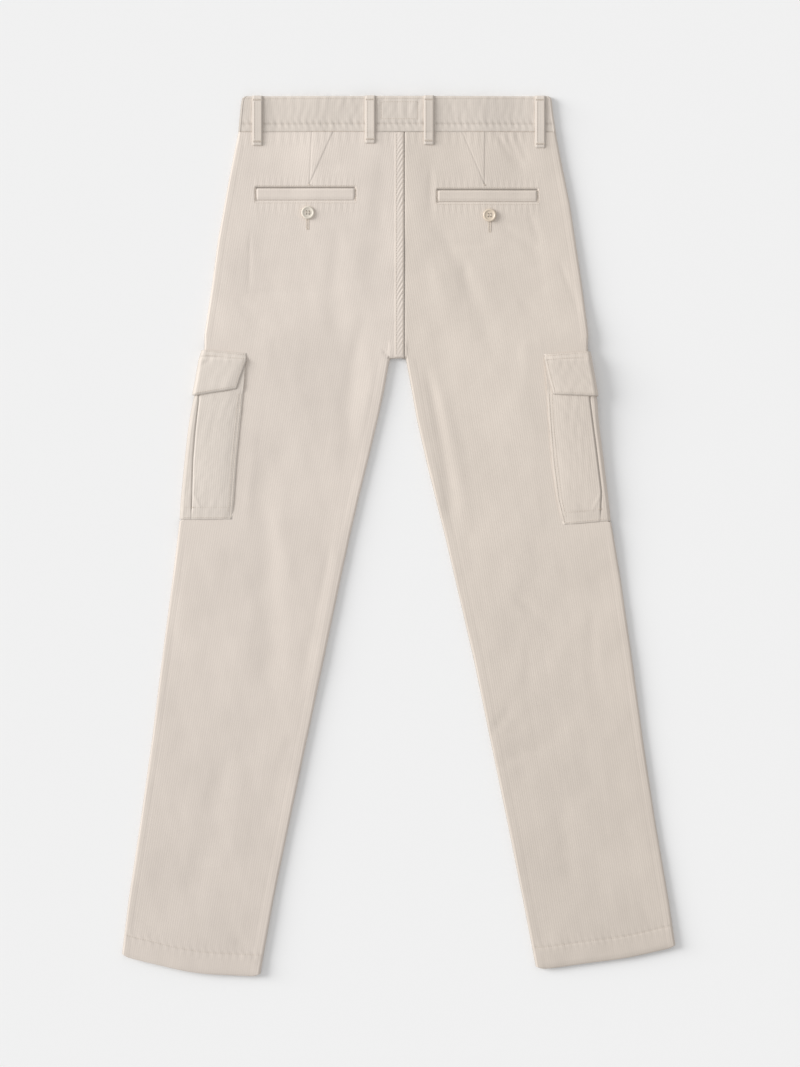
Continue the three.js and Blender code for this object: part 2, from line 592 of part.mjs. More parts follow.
// Zip behind the centre front opening: its tape, and the slider pulled up to the top
function addZip() {
  const half = zip.width / 2
  const onFront = (x, y) => {
    const sides = [zip.x - half, zip.x, zip.x + half].map((edge) => lift(leftLeg, edge, y))
    return Math.max(...sides) + CLOTH + GAP
  }
  const columns = [zip.x - half, zip.x + half]
  const tapeRows = [zip.foot, 390, 450, 480, zip.top]
  const metal = new THREE.MeshStandardMaterial({ color: 0xa89468, roughness: 0.35, metalness: 0.9 })
  add('fly_zip', stripGeometry(columns, tapeRows, onFront, zip.cloth), corduroy(0xc8bba9))
  const sliderColumns = [zip.x - 4, zip.x - 2, zip.x + 2, zip.x + 4]
  const sliderFace = (x, y) => onFront(x, y) + zip.cloth + GAP
  add('zip_slider', stripGeometry(sliderColumns, [488, 500], sliderFace, 1.2), metal)
}

addPanels()
addWaistband()
addCargoPockets()
addWelts()
addBeltLoops()
addButtons()
addZip()

export default garment
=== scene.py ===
import math
import bmesh
import bpy
import numpy as np
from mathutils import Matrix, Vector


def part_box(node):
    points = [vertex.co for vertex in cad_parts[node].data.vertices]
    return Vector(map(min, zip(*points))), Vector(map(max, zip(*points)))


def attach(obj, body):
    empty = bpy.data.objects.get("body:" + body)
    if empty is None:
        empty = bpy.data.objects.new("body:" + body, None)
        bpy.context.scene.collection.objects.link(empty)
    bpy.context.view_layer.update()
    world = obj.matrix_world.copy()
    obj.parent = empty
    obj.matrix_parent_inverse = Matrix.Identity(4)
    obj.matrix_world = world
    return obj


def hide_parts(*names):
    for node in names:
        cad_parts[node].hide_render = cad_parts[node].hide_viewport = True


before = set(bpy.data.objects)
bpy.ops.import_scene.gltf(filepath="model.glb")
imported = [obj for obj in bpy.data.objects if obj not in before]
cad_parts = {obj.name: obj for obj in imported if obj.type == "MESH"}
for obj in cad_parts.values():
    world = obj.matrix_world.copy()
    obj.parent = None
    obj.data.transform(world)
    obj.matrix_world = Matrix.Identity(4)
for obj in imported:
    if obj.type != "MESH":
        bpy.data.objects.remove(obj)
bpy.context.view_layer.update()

MM = 0.001


def table(names, *rows):
    """Columns by name, one row for each section, sorted by the first column."""
    data = np.array(sorted(rows), dtype=float)
    return {name: data[:, k] for k, name in enumerate(names.split())}


def at(tab, name, y):
    return np.interp(y, tab["y"], tab[name])


# Cloth and seams
CLOTH, WAIST_CLOTH, FLAP_CLOTH, LOOP_CLOTH, WELT_CLOTH, GAP = 1.6, 2.2, 2.4, 2.0, 1.2, 0.3
EDGE_ROUND = 3.0
WALE_PITCH = 2.85
WALE_DEPTH = 0.1
STRIP_EDGE_SHADE = 0.2  # painted shade at the sides of strips, to tone down their lit edges
LEFT_FOLD_SHADE, RIGHT_FOLD_SHADE = 0.52, 0.0  # painted shade on the long folded edges that face left, none on those facing right, to tone down their lit rims
WALE_CREST = 0.1  # how far the ribs stand over the solids
STITCH_PITCH, STITCH_RADIUS, UNDER_THREAD_Z = 3.3, 0.26, 0.24
CREASE_SHARE = 0.5
WELT_SINK = 0.75

# Heights up the garment
WAIST_SEAM_Y, WAIST_TOP_Y = 505.3, 550.3
WAIST_SEWN_LOW_Y, WAIST_SEWN_HIGH_Y = 515.5, 547.0
CROTCH_Y, SHANK_TOP_Y, SHANK_LENGTH = 223.0, 8.0, 545
BACK_SEAM_X, FRONT_SEAM_X, FELL_WIDTH = 7.2, 2.0, 12.4
HEM_DEPTH, BAG_HEM = 27.0, 15.0
BAG_FOOT_Y, FLAP_FOOT_Y, POCKET_MIDDLE_Y, POCKET_HEAD_Y = 8, 168, 200, 236
POCKET_REACH = 74
BAG_RAMPS, FLAP_RAMPS = (16, 33), (16, 36)
BAG_LIFT, FLAP_LIFT = CLOTH + GAP, FLAP_CLOTH + GAP
LOOP_LIFT, BUTTON_LIFT, LAP_STEP, LAP_RISE = LOOP_CLOTH + GAP, 2.9, WAIST_CLOTH + GAP, 0.8
THICKNESS = table(
    "y thick",
    (-560, 6.8), (-480, 6.6), (-440, 6.0), (-100, 6.0), (100, 6.4),
    (260, 6.9), (420, 6.8), (480, 6.6), (560, 6.6),
)

# Creases of each leg's back: a line from 1 to 2 that bends sideways, its width and height
CREASES = "x1 y1 x2 y2 bend width height"
LEFT = {
    "side": -1,
    "lean": 0.170,
    "outer": table(
        "y x",
        (505, -200.6), (482, -205.3), (450, -211.7), (413, -218.4), (370, -226.2), (320, -232.8),
        (270, -240.2), (252, -243.0), (236, -242.8), (207, -246.4), (182, -250.2), (145, -257.0),
        (95, -264.6), (45, -270.0), (20.6, -271.4), (19.2, -274.2), (8, -275.4),
        (-55, -283.2), (-155, -296.3), (-255, -308.7), (-355, -322.8), (-455, -338.0), (-524, -346.3),
    ),
    "inner": table(
        "y x",
        (223, -10.9), (214, -12.8), (182, -18.4), (145, -26.4), (95, -38.3), (45, -50.8),
        (-5, -62.2), (-55, -73.0), (-155, -93.9), (-255, -115.0), (-355, -136.2), (-455, -156.8),
        (-546, -173.0),
    ),
    "hem": {"outer": -524.4, "inner": -550.17, "bow": -7.2},
    "creases": table(
        CREASES,
        (-42, 466, -42, 380, 0, 13, 1.0), (-18, 470, -21, 336, 3, 11, -1.0),
        (-76, 372, -77, 244, 4, 13, -1.3), (-50, 372, -46, 300, 0, 14, 1.0),
        (-46, 268, -65, 70, 6, 11, -1.4), (-33, 210, -47, 120, 0, 8, 0.6),
        (-105, 463, -73, 461, 0, 5, -0.8), (-188, 305, -98, 304, 0, 3.0, -0.55),
        (-186, 378, -187, 306, 0, 3.0, -0.5), (-150, 250, -118, 330, 5, 15, -0.6),
        (-205, 300, -170, 262, 0, 9, -0.7), (-175, 84, -165, -210, -9, 17, -1.5),
        (-150, 40, -142, -120, -4, 15, 0.8), (-218, -283, -252, -430, 3, 14, -1.2),
        (-196, -300, -214, -410, 0, 12, 0.6), (-281, -60, -290, -165, 0, 8, -0.9),
        (-74, 4, -112, -196, 0, 8, 1.0), (-86, -20, -122, -200, 0, 8, -0.8),
        (-130, -250, -160, -330, 4, 10, -0.7), (-282, -330, -262, -380, 0, 9, -0.6),
        (-206, -500, -172, -538, 0, 8, -0.8), (-196, -520, -168, -546, 0, 6, 0.9),
        (-330, -470, -300, -500, 0, 9, -0.6), (-20, 233, -11, 222, 0, 2.4, -1.0),
    ),
}
RIGHT = {
    "side": 1,
    "lean": -0.172,
    "outer": table(
        "y x",
        (505, 196.4), (482, 200.6), (450, 207.0), (413, 214.4), (370, 220.9), (320, 228.4),
        (270, 235.0), (252, 237.2), (236, 236.2), (207, 238.4), (182, 242.4), (145, 245.6),
        (95, 252.5), (45, 259.3), (19.0, 262.5), (17.6, 265.7), (8, 267.4), (-55, 277.8), (-155, 292.1),
        (-255, 305.5), (-355, 320.6), (-455, 337.6), (-514, 346.3),
    ),
    "inner": table(
        "y x",
        (223, 8.7), (214, 10.4), (182, 16.3), (145, 22.9), (95, 34.2), (45, 46.6), (-5, 59.1),
        (-55, 70.8), (-155, 94.0), (-255, 114.6), (-355, 135.4), (-455, 155.4), (-541, 172.0),
    ),
    "hem": {"outer": -514.2, "inner": -541.2, "bow": -3.4},
    "creases": table(
        CREASES,
        (25, 480, 25, 400, 0, 12, 0.9), (40, 458, 40, 404, 0, 5, -0.9),
        (52, 384, 128, 215, -3, 12, -1.6), (45, 341, 71, 254, 0, 13, 1.3),
        (83, 341, 85, 304, 0, 8, -0.9), (127, 390, 178, 354, 0, 7, -1.1),
        (164, 403, 178, 362, 0, 6, -0.9), (120, 507, 147, 464, 0, 4.5, -1.1),
        (133, 507, 155, 459, 0, 4.5, -1.0), (146, 506, 161, 468, 0, 4.5, -0.9),
        (52, 367, 123, 365, 0, 3.0, -0.55), (66, 356, 106, 356, 0, 4.0, 0.5),
        (202, 341, 227, 275, 0, 5, -0.8), (150, 300, 196, 262, 4, 10, -0.8),
        (35, 206, 68, 2, -4, 8, -1.7), (50, 190, 84, 10, -4, 9, 0.9), (62, 0, 92, -130, 0, 10, -0.8),
        (112, -251, 142, -215, 0, 6, -1.1), (125, -284, 183, -262, 0, 6, -1.2),
        (120, -268, 170, -240, 0, 7, 0.7), (242, -94, 243, -198, 0, 10, -1.0),
        (162, -141, 163, -198, 0, 9, -0.8), (143, -71, 194, -119, 0, 8, -0.8),
        (97, -2, 173, -18, 0, 8, 0.7), (315, -320, 327, -398, 0, 9, -1.0),
        (206, -330, 222, -440, 4, 14, -0.9), (180, -500, 214, -536, 0, 8, -0.7),
        (300, -455, 322, -500, 0, 8, -0.7),
    ),
}
WAIST_WRINKLES = table(
    CREASES,
    (-2, 548, -1, 524, 0, 3.0, -0.8), (4, 549, 5, 520, 0, 3.0, 0.7), (11, 548, 11, 522, 0, 2.6, -0.9),
    (18, 549, 17, 524, 0, 3.0, 0.7), (25, 548, 25, 526, 0, 2.8, -0.8), (-60, 545, -75, 515, 0, 6, -0.5),
    (60, 546, 76, 512, 0, 6, -0.5), (112, 545, 120, 508, 0, 5, -0.6), (150, 546, 140, 508, 0, 6, -0.5),
    (-120, 546, -112, 508, 0, 7, -0.4), (-158, 546, -150, 510, 0, 5, -0.5),
)
WAISTBAND = table(
    "y left right",
    (505.6, -200.6, 196.4), (516, -199.8, 195.0), (528, -198.6, 193.2), (540, -197.5, 191.9),
    (547.5, -196.0, 191.0), (550.3, -192.8, 188.0),
)
LAP_INNER_X, LAP_OUTER_X = -18.0, 22.0
WAIST_ACROSS, WAIST_UNDER = 393, 190
WAIST_PATCH_X = (-22.0, 24.0)
LEFT_BAG = table(
    "y outer_y sewn outer",
    (20.9, 20.9, -208.3, -274.1), (45, 45, -205.9, -272.7), (95, 95, -202.4, -267.8),
    (132, 132, -198.9, -263.6), (150, 150, -196.9, -260.9), (168, 168, -195.2, -257.4),
    (184, 184, -193.8, -253.0), (214, 217, -191.4, -247.4),
)
RIGHT_BAG = table(
    "y outer_y sewn outer",
    (14.2, 19.3, 205.4, 265.2), (45, 45, 197.6, 262.4), (95, 95, 191.3, 256.3),
    (132, 132, 188.0, 251.4), (150, 150, 186.8, 249.4), (168, 168, 185.7, 248.3),
    (184, 184, 184.8, 245.6), (212, 215, 183.3, 240.2),
)
LEFT_PLEAT = table("y x", (20, -258.4), (95, -256.3), (132, -253.2), (170, -248.8))
RIGHT_PLEAT = table("y x", (20, 251.2), (57, 252.6), (107, 246.4), (170, 238.0))
LEFT_FLAP = table(
    "y outer_y sewn outer",
    (184.1, 175.4, -202.2, -258.4), (199, 197, -197.5, -254.3), (219.5, 220, -189.9, -250.4),
    (224.6, 227, -189.7, -248.5), (228.6, 233.1, -189.7, -246.6),
)
RIGHT_FLAP = table(
    "y outer_y sewn outer",
    (177.1, 174.9, 192.6, 249.6), (196, 196, 187.5, 246.2), (218, 218.5, 182.4, 242.0),
    (223.6, 226, 181.9, 240.9), (227.3, 231.3, 181.7, 239.7),
)
FLAP_DROP_Y = 222.0
LEFT_FLAP_FOLD = (236, 221, 252, 208)
WELTS = {
    "welt_left": (-178.4, -54.7, 420.3, 434.7),
    "welt_right": (48.4, 173.4, 418.4, 432.2),
}
# Loops: X of the middle and Y of the foot
BACK_LOOPS = {
    "belt_loop_back_1": (-176.6, 488.4), "belt_loop_back_2": (-35.6, 491.0),
    "belt_loop_back_3": (37.8, 489.1), "belt_loop_back_4": (176.9, 485.3),
}
FRONT_LOOPS = {"belt_loop_front_1": (-78.0, 488.4), "belt_loop_front_2": (78.0, 488.4)}
LOOP_WIDTH, LOOP_BULGE = 13.0, 0.5
WAIST_BUTTON = (3.0, 528.0)
POCKET_BUTTONS = {"pocket_button_left": (-113.8, 404.5), "pocket_button_right": (113.8, 401.3)}
BUTTON_RADIUS, BUTTON_HEIGHT, HOLE_SPREAD = 8.0, 2.6, 1.7
# Darts: X of the sewn line and the pressed fold at the waistband, X of their foot, and their shade
DART_FOOT_Y = 440.0
DARTS = {
    -1: {"sewn": -108.9, "fold": -82.0, "foot": -111.5, "tones": (0.13, 0.12)},
    1: {"sewn": 108.0, "fold": 79.0, "foot": 107.5, "tones": (0.07, 0.2)},
}

# Light
WORLD_STRENGTH, SUN_STRENGTH = 0.62, 3.26
SUN_ELEVATION, SUN_TURN, SUN_SPREAD = 20, 15, 32


# Shape functions
def plateau(value, low, high, ramp):
    """1 between low and high, fading smoothly to 0 over a ramp on both sides."""
    t = np.clip(1 - np.maximum(np.maximum(low - value, value - high), 0) / ramp, 0, 1)
    return t * t * (3 - 2 * t)


def ridge(distance, width, height):
    """Soft ridge where a distance is zero."""
    return height * np.exp(-((distance / width) ** 2))


def groove(distance, width, depth):
    return -ridge(distance, width, depth)


def line_tone(distance, width, darkness):
    return 1 - ridge(distance, width, darkness)


def pocket_mask(y, foot, ramps):
    """1 beside a cargo pocket's bag or flap, with one ramp above it and one below."""
    above, below = (plateau(y, foot, POCKET_HEAD_Y, ramp) for ramp in ramps)
    return np.where(y > POCKET_MIDDLE_Y, above, below)


def side_mask(leg, x, y, ramp=16):
    return plateau(np.abs(at(leg["outer"], "x", y) - x), 0, POCKET_REACH, ramp)


def pocket_lift(leg, x, y, bag_ramps, flap_ramps, ramp):
    bag = BAG_LIFT * pocket_mask(y, BAG_FOOT_Y, bag_ramps)
    flap = FLAP_LIFT * pocket_mask(y, FLAP_FOOT_Y, flap_ramps)
    return (bag + flap) * side_mask(leg, x, y, ramp)


def lift(leg, x, y):
    """Height that the pieces underneath give the garment."""
    pocket = pocket_lift(leg, x, y, BAG_RAMPS, FLAP_RAMPS, 16)
    loops = plateau(np.abs(x), 68, 88, 14) * plateau(y, 480, 560, 30)
    button = plateau(x, -11, 17, 12) * plateau(y, 505, 560, 55)
    return np.maximum(pocket, np.maximum(LOOP_LIFT * loops, BUTTON_LIFT * button))


def waist_lift(x, y):
    """Wide soft rise over the hidden loops, button and lap of the front."""
    loops = LOOP_LIFT * plateau(np.abs(x), 60, 96, 62) * plateau(y, 480, 560, 90)
    button = BUTTON_LIFT * plateau(x, -24, 30, 62) * plateau(y, 505, 560, 100)
    return (loops**4 + button**4) ** 0.25


def soft_lift(leg, x, y):
    """The same on the visible side, where the upper layers smooth it out."""
    pocket = pocket_lift(leg, x, y, (80, 90), (80, 80), 120)
    return np.maximum(np.maximum(lift(leg, x, y), pocket), waist_lift(x, y))


def bare_top(leg, x, y):
    return soft_lift(leg, x, y) + at(THICKNESS, "thick", y)


def crease_height(creases, x, y):
    total = np.zeros(np.broadcast(x, y).shape)
    for k in range(len(creases["x1"])):
        x1, y1, x2, y2, bend, width, height = (creases[name][k] for name in CREASES.split())
        dx, dy = x2 - x1, y2 - y1
        length = math.hypot(dx, dy)
        t = ((x - x1) * dx + (y - y1) * dy) / length**2
        inside = np.clip(t, 0, 1)
        across = ((x - x1) * dy - (y - y1) * dx) / length - bend * 4 * inside * (1 - inside)
        beyond = (t - inside) * length
        taper = np.clip(np.minimum(inside, 1 - inside) * 4 + 0.35, 0, 1)
        soft = width * (0.75 + 0.5 * inside)
        total += height * taper * np.exp(-(across**2 + beyond**2) / soft**2)
    return total


def ripple(x, y, seed):
    """Slow uneven swell of the laid cloth."""
    rng = np.random.RandomState(seed)
    total = np.zeros(np.broadcast(x, y).shape)
    for wavelength, height in ((150, 0.2), (95, 0.15), (62, 0.1), (40, 0.07), (27, 0.045), (18, 0.028)):
        for _ in range(3):
            turn = rng.uniform(0, math.pi)
            phase = rng.uniform(0, 2 * math.pi)
            along = x * math.cos(turn) + y * math.sin(turn) * 0.6
            total += height * 0.6 * np.sin(2 * math.pi * along / wavelength + phase)
    return total


def crinkle(x, y, seed):
    """Fine uneven puckers of washed cloth, about 8 to 17 mm apart."""
    rng = np.random.RandomState(seed)
    total = np.zeros(np.broadcast(x, y).shape)
    for _ in range(9):
        wavelength = rng.uniform(8, 17)
        turn = rng.uniform(-0.9, 0.9)
        bend = rng.uniform(25, 60)
        phase = rng.uniform(0, 6.28)
        along = x * math.cos(turn) + y * math.sin(turn) + 2.5 * np.sin((y - x) / bend + phase)
        patch = np.sin(x / rng.uniform(18, 45) + phase)
        patch = 0.5 + 0.5 * patch * np.sin(y / rng.uniform(18, 45) + 2 * phase)
        total += np.sin(2 * math.pi * along / wavelength + phase) * patch
    return total


def line_distance(x, y, x1, y1, x2, y2):
    dx, dy = x2 - x1, y2 - y1
    t = np.clip(((x - x1) * dx + (y - y1) * dy) / (dx * dx + dy * dy), 0, 1)
    return np.hypot(x - x1 - dx * t, y - y1 - dy * t)


def wale(phase):
    """Rounded rib, 0 in the groove and 1 on the crest."""
    return 1 - (1 - np.abs(np.sin(math.pi * phase))) ** 2.2


def rib_tone(ribs):
    """Darker pile in the grooves between the ribs, partly the bare ground weave and partly painted shade.
    """
    return 0.945 + 0.055 * np.clip(ribs / 0.85, 0, 1)


def hem_bend(leg, u, rounded=True):
    """How far the hem's lower edge departs from a straight line, at a share u from its outer end."""
    bend = leg["hem"]["bow"] * 4 * u * (1 - u) + 0.5 * np.sin(11 * u + leg["side"])
    corners = ridge(1 - u, 0.03, 3.0) + ridge(u, 0.028, 2.2)
    return bend + corners * rounded


def hem_line(leg, u):
    hem = leg["hem"]
    return hem["outer"] + (hem["inner"] - hem["outer"]) * u + hem_bend(leg, u, False)


def above_hem(leg, x, y):
    """Distance above the hem's lower edge."""
    outer = at(leg["outer"], "x", y)
    u = np.clip((x - outer) / (at(leg["inner"], "x", y) - outer), 0, 1)
    return y - hem_line(leg, u)


def dart_lines(leg, y):
    """How far up a dart y is, and where its sewn line and its pressed fold are there."""
    dart = DARTS[leg["side"]]
    foot = dart["foot"]
    t = np.clip((y - DART_FOOT_Y) / (WAIST_SEAM_Y - DART_FOOT_Y), 0, 1)
    return t, foot + (dart["sewn"] - foot) * t, foot + (dart["fold"] - foot) * t


def dart_relief(leg, x, y):
    t, sewn, fold = dart_lines(leg, y)
    inside = plateau(x, np.minimum(sewn, fold), np.maximum(sewn, fold), 2.0)
    line = groove(x - sewn, 1.0, 0.45) + groove(x - fold, 1.0, 0.4)
    return (0.3 * inside * np.minimum(1, t * 4) + line) * (y > DART_FOOT_Y)


def welt_of(leg):
    return WELTS["welt_left" if leg["side"] < 0 else "welt_right"]


def welt_bed(leg, x, y):
    """Sunk bed of a welt, the slit over it, and the gathers and swell round it."""
    x1, x2, y1, y2 = welt_of(leg)
    bed = plateau(x, x1, x2, 3) * plateau(y, y1, y2, 3)
    slit = plateau(x, x1, x2, 1) * groove(y - y2 - 1.1, 1.2, 1.3)
    near = plateau(x, x1, x2, 8)
    gathers = np.sin(2 * math.pi * x / 7.5) * (ridge(y - y2 - 8, 6, 0.07) + ridge(y - y1 + 9, 7, 0.07))
    swell = ridge(y - (y1 + y2) / 2, 16, 0.2) * (1 - bed)
    return slit - WELT_SINK * bed + near * (gathers + swell)


def hem_relief(leg, x, y):
    lower = above_hem(leg, x, y)
    sewn = groove(lower - HEM_DEPTH, 1.4, 0.32)
    pucker = np.sin(2 * math.pi * (x + 0.5 * y) / 9.0) * ridge(lower - HEM_DEPTH, 6, 0.09)
    doubled = 0.2 * plateau(lower, 0, HEM_DEPTH - 2.5, 3)
    return sewn + pucker + doubled + groove(lower, 1.6, 1.3)


def seam_relief(leg, x, y, inner_x):
    """Seat seam, seam allowances at the edges, hem, pocket slit, dart and gathers at the waist."""
    outer_d = np.abs(x - at(leg["outer"], "x", y))
    inner_d = np.abs(x - inner_x)
    below = y < CROTCH_Y
    above = y > CROTCH_Y + 1
    outside_leg = ridge(outer_d - 6.5, 2.4, 0.08) + groove(outer_d - 10.5, 1.6, 0.05)
    inside_leg = ridge(inner_d - 8, 3.0, 0.08) + groove(inner_d - 13, 1.8, 0.05)
    relief = outside_leg * (1 - pocket_mask(y, BAG_FOOT_Y, BAG_RAMPS)) + np.where(below, inside_leg, 0)
    relief += groove(x - BACK_SEAM_X, 1.1, 0.7) * above
    tuck = plateau(x, -11, 9, 3) * plateau(y, CROTCH_Y - 2, CROTCH_Y + 26, 6) * above
    relief += tuck * ridge(y - CROTCH_Y - 12, 9, 0.5)
    gather = 0.08 * np.sin(2 * math.pi * x / 9.5 + 1.6 * np.sin(x / 17)) * plateau(y, 496, 520, 12)
    return relief + hem_relief(leg, x, y) + welt_bed(leg, x, y) + dart_relief(leg, x, y) + gather


def seam_tone(leg, x, y):
    """Shade in the slits, seams and sewn lines, where light hardly reaches."""
    tone = np.where(y > CROTCH_Y, line_tone(x - BACK_SEAM_X, 0.9, 0.32), 1.0)
    x1, x2, y1, y2 = welt_of(leg)
    beside = plateau(x, x1 + 1, x2 - 1, 2)
    tone = tone * (1 - beside * ridge(y - y2 - 1.0, 0.9, 0.52))
    tone = tone * (1 - beside * ridge(y - y1 + 0.8, 0.7, 0.06))
    _, sewn, fold = dart_lines(leg, y)
    for line, darkness in zip((sewn, fold), DARTS[leg["side"]]["tones"]):
        tone = tone * np.where(y > DART_FOOT_Y, line_tone(x - line, 0.9, darkness), 1.0)
    tone = tone * line_tone(y - WAIST_SEAM_Y, 1.0, 0.06)
    return tone * line_tone(above_hem(leg, x, y) - HEM_DEPTH + 0.6, 0.8, 0.05)


def laid(leg, x, y):
    """Creases and slow swell of a leg's cloth."""
    return CREASE_SHARE * crease_height(leg["creases"], x, y) + ripple(x, y, 5 + leg["side"])


def back_height(leg, x, y, inner_x):
    """Visible top of a back panel, without its ribs."""
    covered = pocket_mask(y, BAG_FOOT_Y, BAG_RAMPS) * side_mask(leg, x, y)
    return bare_top(leg, x, y) + laid(leg, x, y) * (1 - 0.92 * covered) + seam_relief(leg, x, y, inner_x)


def leg_at(x):
    return LEFT if x < 0 else RIGHT


def point_height(x, y):
    """Top of the back panels at one point, for what lies on them."""
    leg = LEFT if x < BACK_SEAM_X else RIGHT
    inner_x = at(leg["inner"], "x", y) if y < CROTCH_Y else BACK_SEAM_X
    return back_height(leg, x, y, inner_x)


# Meshes
def fan(fine, coarse, picks):
    """Triangles between a fine edge and a coarse one that starts from its picked points."""
    faces = []
    for k in range(len(coarse) - 1):
        first, last = picks[k], picks[k + 1]
        middle = (first + last) // 2
        faces += [(fine[i], fine[i + 1], coarse[k]) for i in range(first, middle)]
        faces += [(fine[i], fine[i + 1], coarse[k + 1]) for i in range(middle, last)]
        faces.append((coarse[k], fine[middle], coarse[k + 1]))
    return faces


def quads(first, rows, columns):
    r, c = np.meshgrid(np.arange(rows - 1), np.arange(columns - 1), indexing="ij")
    a = (first + r * columns + c).ravel()
    one = np.stack([a, a + 1, a + columns + 1], 1)
    two = np.stack([a, a + columns + 1, a + columns], 1)
    return np.concatenate([one, two])


def coarse_steps(count, step, kept=()):
    return np.array(sorted({*range(0, count - 1, step), count - 1, *kept}))


def closed_shell(outer, inner, row_step, column_step, kept_rows=()):
    """One closed surface: a fine outer grid, a coarse inner one, and a rim all round."""
    rows, columns = outer.shape[:2]
    pick_r, pick_c = coarse_steps(rows, row_step, kept_rows), coarse_steps(columns, column_step)
    small = inner[np.ix_(pick_r, pick_c)]
    base = rows * columns
    points = np.concatenate([outer.reshape(-1, 3), small.reshape(-1, 3)])
    faces = [quads(0, rows, columns), quads(base, len(pick_r), len(pick_c))[:, ::-1]]
    fine = np.arange(base).reshape(rows, columns)
    coarse = base + np.arange(len(pick_r) * len(pick_c)).reshape(len(pick_r), len(pick_c))
    rims = fan(fine[:, 0], coarse[:, 0], pick_r)
    rims += [f[::-1] for f in fan(fine[:, -1], coarse[:, -1], pick_r)]
    rims += [f[::-1] for f in fan(fine[0], coarse[0], pick_c)]
    rims += fan(fine[-1], coarse[-1], pick_c)
    faces.append(np.array(rims))
    return points, np.concatenate(faces)


def merged(points, faces, tags):
    """Joins points that coincide and drops the faces that this leaves without area."""
    keys = np.round(points * 2000).astype(np.int64)
    _, first, back = np.unique(keys, axis=0, return_index=True, return_inverse=True)
    faces = back.ravel()[faces]
    keep = (faces[:, 0] != faces[:, 1]) & (faces[:, 1] != faces[:, 2]) & (faces[:, 0] != faces[:, 2])
    return points[first], faces[keep], tags[first]


def new_object(name, data):
    made = bpy.data.objects.new(name, data)
    bpy.context.scene.collection.objects.link(made)
    return made


def mesh_object(name, points, faces, material, tags=None):
    """New object of triangles, with a tone on each point for the material."""
    tags = np.ones(len(points)) if tags is None else tags
    faces = np.asarray(faces, dtype=np.int32)
    mesh = bpy.data.meshes.new(name)
    mesh.vertices.add(len(points))
    mesh.vertices.foreach_set("co", (np.asarray(points) * MM).astype(np.float32).ravel())
    mesh.loops.add(faces.size)
    mesh.loops.foreach_set("vertex_index", faces.ravel())
    mesh.polygons.add(len(faces))
    mesh.polygons.foreach_set("loop_start", np.arange(0, faces.size, 3, dtype=np.int32))
    mesh.polygons.foreach_set("loop_total", np.full(len(faces), 3, dtype=np.int32))
    mesh.update(calc_edges=True)
    mesh.validate()
    mesh.polygons.foreach_set("use_smooth", np.ones(len(mesh.polygons), dtype=bool))
    # The rib attribute carries each point's tone: darker groove pile and painted shade.
    rib = mesh.attributes.new("rib", "FLOAT", "POINT")
    rib.data.foreach_set("value", tags.astype(np.float32))
    mesh.materials.append(material)
    return new_object(name, mesh)


def finish_piece(piece, nodes):
    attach(piece, "root")
    if nodes:
        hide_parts(*nodes)


def oriented(points, faces):
    """Faces turned outwards, by the sign of the enclosed volume."""
    a, b, c = (points[faces[:, k]] for k in range(3))
    volume = (a * np.cross(b, c)).sum()
    return faces if volume > 0 else faces[:, ::-1]


def shell_object(name, outer, inner, material, ribs, row_step=3, column_step=10, kept_rows=()):
    points, faces = closed_shell(outer, inner, row_step, column_step, kept_rows)
    tags = np.ones(len(points))
    tags[: ribs.size] = ribs.ravel()
    points, faces, tags = merged(points, faces, tags)
    return mesh_object(name, points, oriented(points, faces), material, tags)


# Materials
class Shading:
    """A new material's nodes, with short ways to add to them."""

    def __init__(self, name):
        self.material = bpy.data.materials.new(name)
        self.material.use_nodes = True
        self.nodes = self.material.node_tree.nodes
        self.links = self.material.node_tree.links
        self.shader = self.nodes["Principled BSDF"]

    def add(self, kind, source, result, **values):
        """New node fed by a source: settings by name, with _ for a blank in an input's name."""
        node = self.nodes.new(kind)
        for name, value in values.items():
            if hasattr(node, name):
                setattr(node, name, value)
            else:
                node.inputs[name.replace("_", " ")].default_value = value
        if source:
            self.links.new(source, node.inputs[0])
        return node.outputs[result]

    def noise(self, source, scale, detail, roughness=0.5):
        values = {"Scale": scale, "Detail": detail, "Roughness": roughness}
        return self.add("ShaderNodeTexNoise", source, "Fac", **values)

    def mix(self, factor, a, b, mode="MIX"):
        node = self.nodes.new("ShaderNodeMix")
        node.data_type = "RGBA"
        node.blend_type = mode
        for name, value in (("Factor", factor), ("A", a), ("B", b)):
            if isinstance(value, (float, tuple)):
                node.inputs[name].default_value = value
            else:
                self.links.new(value, node.inputs[name])
        return node.outputs["Result"]

    def toned(self, colour, source, reach, tones):
        """Colour times a tone that follows a source over its reach."""
        ends = dict(zip(("From_Min", "From_Max", "To_Min", "To_Max"), (*reach, *tones)))
        tone = self.add("ShaderNodeMapRange", source, "Result", **ends)
        return self.mix(1.0, colour, tone, "MULTIPLY")

    def finish(self, colour, height, strength, distance, **values):
        """Gives the shader its colour, its bump and its other values."""
        self.links.new(colour, self.shader.inputs["Base Color"])
        for name, value in values.items():
            self.shader.inputs[name.replace("_", " ")].default_value = value
        bump = self.nodes.new("ShaderNodeBump")
        bump.inputs["Strength"].default_value = strength
        bump.inputs["Distance"].default_value = distance
        self.links.new(height, bump.inputs["Height"])
        self.links.new(bump.outputs["Normal"], self.shader.inputs["Normal"])
        return self.material


def linear(red, green, blue):
    def one(value):
        value /= 255
        return value / 12.92 if value <= 0.04045 else ((value + 0.055) / 1.055) ** 2.4
    return (one(red), one(green), one(blue), 1.0)


def shaded(colour, factor):
    return tuple([*(min(1, c * factor) for c in colour[:3]), 1.0])


